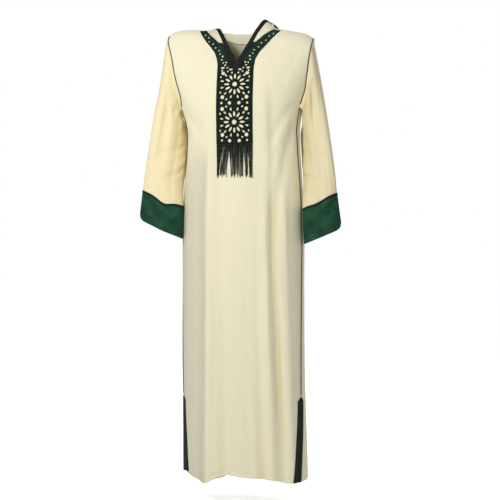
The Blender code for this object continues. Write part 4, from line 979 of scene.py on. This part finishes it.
for side, name in SIDES:
    row = SLEEVE_ROWS[:, None]
    made = sheet_piece("cloth_sleeve_" + name, *sleeves[side], CREPE, sleeve_cloth, "sleeve_" + name, "sleeve_cloth",
                       closed=True)
    # painted shade: the wearer's left sleeve is greyed on its front as if turned from the light, and the 'fold' layer
    # tints both sleeves ochre on the inner side under the arm, as if shaded by the body
    if side > 0:
        tint(made, "side", 0.40 * np.clip(np.sin(ANGLES)[None, :] + 0.2, 0, 1) * ease(row / 2))
    tint(made, "fold", UNDERARM_PAINTED_SHADE[side] * bell(ANGLES - np.pi, 1.10)[None, :] * ease((row - 0.3) / 1.0)
         * (1 - 0.75 * ease((row - 3.0) / 4.5)))
    rows = np.concatenate([np.linspace(8.004, 8.94, 34), (8.965, 8.985, 8.996, 9.0)])
    roll = 0.0009 * bell(END_ROW - rows, 0.016) + 0.0007 * bell(CUFF_ROW - rows, 0.02) \
        + 0.0005 * bell(rows - CUFF_HEM_ROW, 0.014)
    thick = np.where(rows > CUFF_HEM_ROW, 0.0030, 0.0024)
    made = sheet_piece("velvet_cuff_" + name, *dented(side, rows, 0.0010 - roll), thick, cuff_velvet, "cuff_" + name,
                       "velvet", closed=True)
    # near-black strip over the seam of the cuff: painted shade, a dark sheet standing in for the shadow where the
    # sleeve's cloth folds over the cuff
    rows = np.array([7.965, 7.972, 7.99, 8.02, 8.05, 8.068, 8.075])
    rise = np.array([0.0002, 0.0012, 0.0017, 0.0018, 0.0018, 0.0016, 0.0010])
    made = sheet_piece("cuff_edging_" + name, *dented(side, rows, rise), 0.0006, black_cloth, None, "dark_binding",
                       closed=True)


# ---------------------------------------------------------------- hood
def neck_seam(side, t):
    """Seam of the hood at place t: round the back neckline, then down the front one."""
    if t <= HOOD_CORNER:
        x = NECK_X * math.sin(math.pi / 2 * t / HOOD_CORNER)
        return skin_x(1, side * x, top_z(1, np.array(x)))
    x = NECK_X + (TIP[0] - NECK_X) * (t - HOOD_CORNER) / (1 - HOOD_CORNER)
    return skin_x(-1, side * x, top_z(-1, np.array(x)))


def hood_stations(side, t):
    """Points down one row of the hood: seam, rise, over, foot, edge; and how flat the row is."""
    table, first = (HOOD_LEFT, 1) if side > 0 else (HOOD_RIGHT, 4)
    edges = tuple((row[0], *row[10:13]) for row in table)
    edges += tuple((row[0], *row[first:first + 3]) for row in HOOD_FRONT)
    edge = np.array([curve(edges, k, t) for k in (1, 2, 3)])
    seam = neck_seam(side, t) * (side, 1, 1)
    flat = float(ease((t - 0.57) / 0.08))
    rows = []
    for share, column in ((0.30, 1), (0.58, 4), (0.80, 7)):
        bag = np.array([curve(table, column + k, t) for k in range(3)])
        rows.append(bag * (1 - flat) + (seam * (1 - share) + edge * share) * flat)
    seam = seam + unit(rows[0] - seam) * 0.0006 + (0.0, 0.0, 0.0003 if side > 0 else 0.0010)
    return np.array([seam, *rows, edge]) * (side, 1, 1), flat


def hood_row(side, t, count):
    """Row of the hood with the bag's foot rounded."""
    (seam, rise, over, foot, edge), flat = hood_stations(side, t)
    reach = np.linalg.norm(edge - foot)
    spread = unit(over - edge) * 0.008 * (1 - flat) * min(1.0, reach / 0.10)
    hook = min(max(0.016 / reach, 0.12), 0.45)
    stations = np.array([seam, rise, over, foot + 0.14 * (over - foot) + spread, foot,
                         foot + hook * (edge - foot) - spread, edge])
    lengths = running(stations)
    steps = np.interp(np.linspace(0, 1, count), np.linspace(0, 1, 14),
                      (0.0, 0.5, 1.0, 1.5, 2.0, 2.4, 2.8, 3.3, 3.7, 4.2, 4.7, 5.2, 5.6, 6.0))
    wanted = np.interp(steps, range(len(stations)), lengths)
    wanted[-2] = max(wanted[-2], lengths[-1] - BINDING_W)
    table = tuple((float(d), *map(float, p)) for d, p in zip(lengths, stations))
    return np.stack([curve(table, k, wanted) for k in (1, 2, 3)], axis=-1)


HOOD_PLACES = np.unique(np.round(np.concatenate([np.linspace(0, 1, 81), (0.58, HOOD_CORNER)]), 6))
HOOD_COUNT = 79
hood = {}
for side, name in SIDES:
    grid = np.array([hood_row(side, t, HOOD_COUNT) for t in HOOD_PLACES])
    share = np.linspace(0, 1, HOOD_COUNT)[None, :]
    calm = ease(HOOD_PLACES[:, None] / 0.03) * ease(share / 0.15) * ease((1 - share) / 0.10)
    grid = grid + grid_normals(grid) * side * (hood_height(side, HOOD_PLACES[:, None], share) * calm)[..., None]
    grid[0, :, 0] = side * SEAM_GAP
    out = grid_normals(grid) * side
    out[0] = unit(out[0] * (0, 1, 1))
    hood[side] = (grid, out)
    made = sheet_piece("cloth_hood_" + name, grid, out, CREPE, robe_cloth, "hood_" + name, "robe_cloth")

# ---------------------------------------------------------------- edge binding
gap, tape = 0.0002, 0.0009
# section of the folded tape: distance in from the edge, depth over the cloth
BINDING_SECTION = (
    (BINDING_W, gap), (BINDING_W, gap + tape * 0.6), (BINDING_W - 0.0006, gap + tape),
    (BINDING_W * 0.80, gap + tape * 0.8), (BINDING_W * 0.55, gap + tape * 1.25), (BINDING_W * 0.25, gap + tape * 1.3),
    (0.0004, gap + tape * 1.1), (-0.0007, gap + tape * 0.6), (-0.0012, gap - 0.0002), (-0.0013, -CREPE / 2),
    (-0.0012, -CREPE - gap + 0.0002), (-0.0007, -CREPE - gap - tape * 0.6), (0.0004, -CREPE - gap - tape),
    (BINDING_W / 2, -CREPE - gap - tape), (BINDING_W * 0.8, -CREPE - gap - tape), (BINDING_W * 0.8, -CREPE - gap),
    (BINDING_W / 2, -CREPE - gap), (0.0, -CREPE - gap), (0.0, gap), (BINDING_W / 2, gap),
)
V_SLOPE = math.atan2(V_TOP[0], V_TOP[1] - V_POINT_Z)    # of the V's edge, off the vertical


def binding_rings():
    """Sections of the folded tape: up the wearer's left V edge, round the hood's edge, down the right."""
    columns = np.abs(front[-1, :, 0]) <= V_TOP[0] + 1e-4
    v_edge, v_out = front[-1, columns], unit(front_out[-1, columns] * (0.4, 1, 1))
    middle = int(np.argmin(np.abs(v_edge[:, 0])))
    order = [("v", k) for k in range(middle, len(v_edge) - 1)]
    order += [(1, k) for k in range(len(HOOD_PLACES) - 1, 0, -1)]
    order += [(-1, k) for k in range(len(HOOD_PLACES))]
    order += [("v", k) for k in range(1, middle)]
    path = np.array([v_edge[k] if part == "v" else hood[part][0][k, -1] for part, k in order])
    way = unit(np.roll(path, -1, 0) - np.roll(path, 1, 0))
    way[0] = (1, 0, 0)
    rings = []
    for n, (part, k) in enumerate(order):
        ring = []
        for inward, depth in BINDING_SECTION:
            if part == "v":
                into = unit(np.cross(way[n], v_out[k])) * (1 / math.sin(V_SLOPE) if n == 0 else 1)
                ring.append(path[n] + into * inward + v_out[k] * depth)
                continue
            row, out = hood[part][0][k, ::-1], hood[part][1][k, ::-1]
            first = unit(row[1] - row[0])
            (*_, foot, edge), flat = hood_stations(part, HOOD_PLACES[k])
            room = 0.6 * float(np.linalg.norm(edge - foot)) + 0.02 * flat**2.5
            walk = min(inward / max(0.6, float(np.linalg.norm(np.cross(first, way[n])))), room)
            lengths = running(row)
            lean = unit(point_at(out, lengths, walk))
            ring.append(point_at(row, lengths, walk) + first * min(walk, 0) + lean * depth)
        rings.append(ring)
    return np.array(rings)


def edge_binding():
    rings = binding_rings()
    count, sides = rings.shape[:2]
    girth = running(np.array(BINDING_SECTION))
    girth = np.append(girth, girth[-1] + BINDING_W / 2)
    run = running(np.concatenate([rings[:, 8], rings[:1, 8]]))
    faces, pairs = [], []
    for r in range(count):
        a, b = r * sides, (r + 1) % count * sides
        for k in range(sides):
            n = (k + 1) % sides
            faces.append((a + k, a + n, b + n, b + k))
            pairs += [(girth[k], run[r]), (girth[k + 1], run[r]), (girth[k + 1], run[r + 1]), (girth[k], run[r + 1])]
    made = mesh_piece("hood_binding", rings.reshape(-1, 3), faces, pairs, black_cloth, "edge_binding",
                      60)


edge_binding()


# ---------------------------------------------------------------- cutwork plastron
def oval(x, z, across, up, turn=0.0, sides=24, narrow=1.0):
    """Outline of a hole; narrow under 1 makes a drop that is thin at its inner end."""
    a = turns(sides) + math.pi / sides
    along, side = across * np.cos(a), up * np.sin(a) * (narrow + (1 - narrow) * (1 + np.cos(a)) / 2)
    return np.stack([x + along * math.cos(turn) - side * math.sin(turn),
                     z + along * math.sin(turn) + side * math.cos(turn)], -1).tolist()


def cutwork_holes():
    """Outlines of all holes, in metres, x from the cutwork's middle line."""
    found = []
    for row, centre in enumerate(ROSETTES_Z):
        found.append(oval(0, centre, ROSETTE_EYE / 1000, ROSETTE_EYE / 1000, sides=36))
        for k in range(12):
            drop = SHORT_DROP if row == 0 and k in (2, 3) else ROSETTE_DROP
            for (r0, r1, half), turn, narrow in ((ROSETTE_PETAL, 30 * k, 1.0), (drop, 30 * k + 15, 0.45)):
                turn, r = math.radians(turn), (r0 + r1) / 2000
                found.append(oval(r * math.cos(turn), centre + r * math.sin(turn), (r1 - r0) / 2000, half / 1000, turn,
                                  narrow=narrow))
    for x, z, across, up in HOLES:
        for side in (-1, 1):
            inset = 7 * (side < 0 and z > 150)      # the right arm's end is narrower
            found.append(oval(side * (x - inset) / 1000, ROSETTES_Z[0] + z / 1000, across / 1000, up / 1000,
                              sides=30 if across > 4 else 24))
    return found


def split_line(points, step):
    """Close outline with extra points so that no side is longer than step."""
    made = []
    for p, q in zip(points, points[1:] + points[:1]):
        n = max(1, math.ceil(math.dist(p, q) / step))
        made += [(p[0] + (q[0] - p[0]) * k / n, p[1] + (q[1] - p[1]) * k / n) for k in range(n)]
    return made


def cutwork_outline():
    """From the V's point up the left arm and down to the fringe, then back up and down the right arm."""
    clear = BINDING_W - 0.0006      # the binding covers this much of the V's border
    notch = V_POINT_Z - clear / math.sin(V_SLOPE)
    foot_x = V_TOP[0] + clear / math.cos(V_SLOPE)
    foot_z = min(notch + foot_x / math.tan(V_SLOPE), -0.0475)
    corner = (CUTWORK_HALF, CUTWORK_BOTTOM)
    left = [(-CENTRE_X, notch), (foot_x - CENTRE_X, foot_z), *LEFT_ARM, corner]
    right = [(foot_x + CENTRE_X, foot_z), *RIGHT_ARM, corner]
    return left + [(-x, z) for x, z in reversed(right)]


def inside_many(points, outline):
    """Which of many points lie inside a closed outline."""
    x, z = points[:, 0:1], points[:, 1:2]
    a = np.array(outline)
    b = np.roll(a, -1, 0)
    rise = np.where(np.abs(b[:, 1] - a[:, 1]) < 1e-12, 1e-12, b[:, 1] - a[:, 1])
    hit = ((a[:, 1] > z) != (b[:, 1] > z)) & (x < (b[:, 0] - a[:, 0]) * (z - a[:, 1]) / rise + a[:, 0])
    return hit.sum(axis=1) % 2 == 1


def distance_to(points, outline):
    a = np.array(outline)
    b = np.roll(a, -1, 0)
    along = b - a
    best = np.full(len(points), 9.0)
    for p, d in zip(a, along):
        share = np.clip(((points - p) @ d) / max(d @ d, 1e-16), 0, 1)
        best = np.minimum(best, np.linalg.norm(points - p - share[:, None] * d, axis=1))
    return best


def hole_distance(points, loops, most):
    """Distance to the nearest hole's edge, 0 inside it; only looked for nearer than most."""
    near = np.full(len(points), 9.0)
    for loop in loops:
        middle = np.mean(loop, axis=0)
        close = np.linalg.norm(points - middle, axis=1) < max(math.dist(p, middle) for p in loop) + most
        if close.any():
            away = distance_to(points[close], loop)
            away[inside_many(points[close], loop)] = 0
            near[close] = np.minimum(near[close], away)
    return near


def flat_mesh(loops, step, clear):
    """Triangles of an outline with holes, with a lattice of points inside; points and faces."""
    low, high = np.min(loops[0], axis=0), np.max(loops[0], axis=0)
    xs, zs = np.arange(low[0], high[0], step), np.arange(low[1], high[1], step * 0.87)
    lattice = np.array([(x + (n % 2) * step / 2, z) for n, z in enumerate(zs) for x in xs])
    lattice = lattice[inside_many(lattice, loops[0])]
    near = np.minimum(distance_to(lattice, loops[0]), hole_distance(lattice, loops[1:], 2 * clear))
    flat, edges = [], []
    for loop in loops:
        first = len(flat)
        flat += loop
        edges += [(first + k, first + (k + 1) % len(loop)) for k in range(len(loop))]
    flat += lattice[near > clear].tolist()
    made, _, cells, _, _, _ = delaunay_2d_cdt([Vector(p) for p in flat], edges, [], 0, 1e-7)
    points, cells = np.array(made), np.array(cells)
    middle = points[cells].mean(axis=1)
    keep = inside_many(middle, loops[0])
    for loop in loops[1:]:
        close = ((middle > np.min(loop, axis=0)) & (middle < np.max(loop, axis=0))).all(axis=1)
        if close.any():
            keep[close] &= ~inside_many(middle[close], loop)
    return points, cells[keep]


def plastron():
    loops = [split_line(cutwork_outline(), 0.003)] + cutwork_holes()
    points, cells = flat_mesh(loops, 0.0034, 0.0012)
    used, cells = np.unique(cells, return_inverse=True)
    points, cells = points[used], cells.reshape(-1, 3)
    outer, holes = distance_to(points, loops[0]), hole_distance(points, loops[1:], 0.006)
    x, z = points[:, 0] + CENTRE_X, points[:, 1]
    base, out = skin_x(-1, x, z), skin_x_normal(-1, x, z)
    swell = 0.0006 * ease(np.minimum(outer, holes) / 0.0022)
    both = np.concatenate([base + out * (0.0012 + swell)[:, None], base + out * 0.0004])
    count = len(points)
    faces = [tuple(c) for c in cells] + [tuple(c[::-1] + count) for c in cells]
    sides = {(p, q) for a, b, c in cells for p, q in ((a, b), (b, c), (c, a))}
    faces += [(p, q, q + count, p + count) for p, q in sides if (q, p) not in sides]
    pairs = [tuple(points[i % count]) for face in faces for i in face]
    made = mesh_piece("velvet_cutwork", both, faces, pairs, cutwork_velvet, "cutwork_plastron", 40)
    rim = np.maximum(1 - ease(outer / 0.0042), 0.85 * (1 - ease(holes / 0.0020)))
    tint(made, "edge", rim + 0.72 * ease((-0.100 - z) / 0.03))


plastron()


# ---------------------------------------------------------------- fringe
def fringe():
    """Yarn strands in uneven bunches under a narrow heading, lying on the front."""
    random = np.random.default_rng(11)
    top = CUTWORK_BOTTOM - 0.0004
    points, faces, pairs = [], [], []

    def strand(x, z, lift, radius, taper):
        out = skin_x_normal(-1, x, z)
        centre = skin_x(-1, x, z) + out * lift[:, None]
        across = unit(np.cross(unit(np.gradient(centre, axis=0)), out))
        faces.extend(tube_faces(len(points), len(x), 6))
        pairs.extend(tube_uv(running(centre), 0.0005, 6)[:-12] + [(0, 0)] * 12)
        radius = radius * (1 - taper * np.linspace(0, 1, len(x)))
        points.extend(tube_points(centre, out, across, radius, 6, twist=0.5))

    for row in range(3):        # heading: three tight cords
        x = np.linspace(0.001 - CUTWORK_HALF, CUTWORK_HALF - 0.001, 60) + CENTRE_X
        strand(x, np.full(60, top - 0.0010 - 0.0016 * row), np.full(60, 0.0016), 0.00095, 0.0)
    starts = iter(np.linspace(0.0018 - CUTWORK_HALF, CUTWORK_HALF - 0.0018, sum(n for _, n, _ in BUNCHES)))
    share = np.linspace(0, 1, 15)
    for middle, number, spread in BUNCHES:
        for k in range(number):
            x0 = next(starts) + random.uniform(-0.0004, 0.0004)
            x1 = middle + spread * (2 * (k + 0.5) / number - 1) + random.uniform(-0.0022, 0.0022)
            length = FRINGE_LENGTH + random.uniform(-0.008, 0.004)
            sway = random.uniform(-0.0016, 0.0016) * np.sin(share * random.uniform(2.0, 5.0) + random.uniform(0, 3))
            x = x0 + (x1 - x0) * ease(share * 1.1) + sway * share + CENTRE_X
            lift = 0.0012 + 0.0010 * random.random() + 0.0012 * np.sin(share * 3) * random.random()
            strand(x, top - 0.004 - length * share, lift, random.uniform(0.00085, 0.00125), 0.12)
    mesh_piece("yarn_fringe", points, faces, pairs, yarn, "fringe", 80)


fringe()


# ---------------------------------------------------------------- pipings, slit bands, hem facings
def armhole_lean(side, angles):
    """Direction off the armhole seam, between the body's and the sleeve's outward normals."""
    step = 0.02
    around = sleeve_point(side, 0.3, angles + step) - sleeve_point(side, 0.3, angles - step)
    along = sleeve_point(side, 0.6, angles) - sleeve_point(side, 0.0, angles)
    sleeve_out = unit(np.cross(around, along)) * side
    body_out = np.zeros_like(sleeve_out)
    for face in (-1, 1):
        z = UNDERARM_Z + (column_top(face, np.array([float(side)]))[0] - UNDERARM_Z) * (1 + np.cos(angles)) / 2
        body = skin_out(face, side * edge_turn(face, side, z), np.minimum(z, -0.034))
        body_out = np.where((np.sin(angles) * -face >= -1e-9)[:, None], body, body_out)
    return unit(body_out + sleeve_out)


def seam_cord(name, face, side, z, sink, radius, lift, sides, mat, node):
    """A cord on a panel's side edge along the heights z."""
    turn = side * edge_turn(face, side, z)
    lean = skin_out(face, turn, z)
    cord_piece(name, skin(face, turn, z) - lean * sink, lean, radius, lift, sides, mat, node)


for side, name in SIDES:
    angles = np.radians(np.linspace(158, -150, 300))
    cord_piece("armhole_cord_" + name, armhole(side, angles), armhole_lean(side, angles), CORD_R, -0.0001, 10,
               black_cloth, "armhole_piping_" + name)
    z = np.linspace(SLIT_TOP_Z + 0.006, UNDERARM_Z - 0.002, 420)
    seam_cord("side_cord_" + name, -1, side, z, 0, CORD_R, -0.0001, 10, black_cloth, "side_piping_" + name)
    for face, place in FACES:
        foot = np.interp(side, *zip(*(FRONT_HEM if face < 0 else BACK_HEM))) + 0.0006
        share = np.linspace(0, 1, 11)
        top = SLIT_TOP_Z + 0.002 - BAND_POINT * share
        z = foot + (top[None, :] - foot) * np.linspace(0, 1, 90)[:, None]
        turn = edge_turn(face, side, z) - (0.0004 + BAND_W * share) / SEAM_SPEED
        grid = skin(face, side * turn, z)
        out = grid_normals(grid) * face * side
        rise = 0.0012 + 0.0005 * np.sin(np.pi * share) ** 0.5
        made = sheet_piece("slit_tape_%s_%s" % (place, name), grid + out * rise[None, :, None], out, 0.0009, black_band,
                           "slit_band_%s_%s" % (place, name), "dark_band")
        seam_cord("slit_edge_%s_%s" % (place, name), face, side, z[:, 0], 0.0004, EDGE_CORD_R, -EDGE_CORD_R, 8,
                  black_band, None)

for (face, name), grid, out in zip(FACES, (front, back), (front_out, back_out)):
    path = (grid[HEM_FOLD] + grid[HEM_FOLD - 1]) / 2
    stitches("hem_stitches_" + name, path[2:-2], out[HEM_FOLD, 2:-2], thread)
    depth, middle, half = PEEP
    peep = depth * np.exp(-(((grid[0, :, 0] - middle) / half) ** 4)) * (face < 0)
    lower = grid[0] + unit(grid[1] - grid[0]) * (0.0012 - peep[:, None])
    upper = grid[HEM_FACING_ROW] - unit(grid[HEM_FACING_ROW] - grid[HEM_FACING_ROW - 1]) * 0.008
    share = np.linspace(0, 1, 8)[:, None, None]
    facing = (lower * (1 - share) + upper * share - out[:1] * (FOLDED + 0.0004))[:, 3:-3]
    made = sheet_piece("hem_tape_" + name, facing, np.broadcast_to(out[:1, 3:-3], facing.shape), 0.0007, black_band,
                       "hem_facing_" + name, "dark_band")
for side, name in SIDES:
    count = 2 * AROUND
    grid, out = sleeve_grid(side, (CUFF_HEM_ROW, CUFF_HEM_ROW + 0.01), count)
    swell = ring_height(CUFF_DENTS, CUFF_HEM_ROW, turns(count))
    path = grid[0] + out[0] * (0.0006 + swell)[:, None]
    stitches("cuff_stitches_" + name, np.concatenate([path, path[:1]]), np.concatenate([out[0], out[0][:1]]),
             dark_thread)


# ---------------------------------------------------------------- stage, lights, camera
def lit_and_seen(tree, lit, seen, socket):
    """Feed a strength: one for the light that it gives, one for how bright the camera sees it."""
    path, strength = add(tree, "ShaderNodeLightPath"), add(tree, "ShaderNodeMix")
    strength.inputs[2].default_value, strength.inputs[3].default_value = lit, seen
    tree.links.new(path.outputs["Is Camera Ray"], strength.inputs[0])
    tree.links.new(strength.outputs[0], socket)


def ground():
    mesh = bpy.data.meshes.new("floor")
    mesh.from_pydata([(x, y, FLOOR_Z) for x, y in ((-30, -30), (30, -30), (30, 30), (-30, 30))], [], [(0, 1, 2, 3)])
    made, tree, shader = start("studio_floor", 0.9)
    shader.inputs["Base Color"].default_value = (0.93, 0.93, 0.93, 1)
    shader.inputs["Emission Color"].default_value = (1, 1, 1, 1)
    lit_and_seen(tree, 0.10, 0.73, shader.inputs["Emission Strength"])
    mesh.materials.append(made)
    put("floor", mesh)


def lamp(name, place, size, power):
    light = bpy.data.lights.new(name, "AREA")
    light.shape, light.size, light.energy = "DISK", size, power
    piece = put(name, light)
    piece.location = place
    piece.rotation_euler = (Vector((0, 0, -0.70)) - Vector(place)).to_track_quat("-Z", "Y").to_euler()


def camera(turn, distance, aside, height, lens):
    """Level camera, turned to the wearer's left of the front and moved aside in its own picture plane."""
    a = math.radians(turn)
    data = bpy.data.cameras.new("camera")
    data.lens, data.sensor_width = lens, 36.0
    piece = put("camera", data)
    away, across = Vector((math.sin(a), -math.cos(a), 0)), Vector((math.cos(a), math.sin(a), 0))
    piece.location = away * distance + across * aside + Vector((0, 0, height))
    piece.rotation_euler = (math.radians(90), 0, a)
    bpy.context.scene.camera = piece


def surround(lit, seen):
    world = bpy.data.worlds.new("studio")
    bpy.context.scene.world = world
    world.use_nodes = True
    background = world.node_tree.nodes["Background"]
    background.inputs["Color"].default_value = (1, 1, 1, 1)
    lit_and_seen(world.node_tree, lit, seen, background.inputs["Strength"])


ground()
lamp("key", (-0.9, -2.2, 1.0), 0.6, 48)
lamp("fill", (1.5, -2.4, 0.0), 1.0, 8)
lamp("back", (0.7, 2.9, 1.0), 1.2, 48)
camera(8.5, 3.5, 0.028, -0.685, 80.5)
surround(0.30, 1.0)
bpy.context.scene.view_settings.view_transform = "Standard"

bpy.context.view_layer.update()
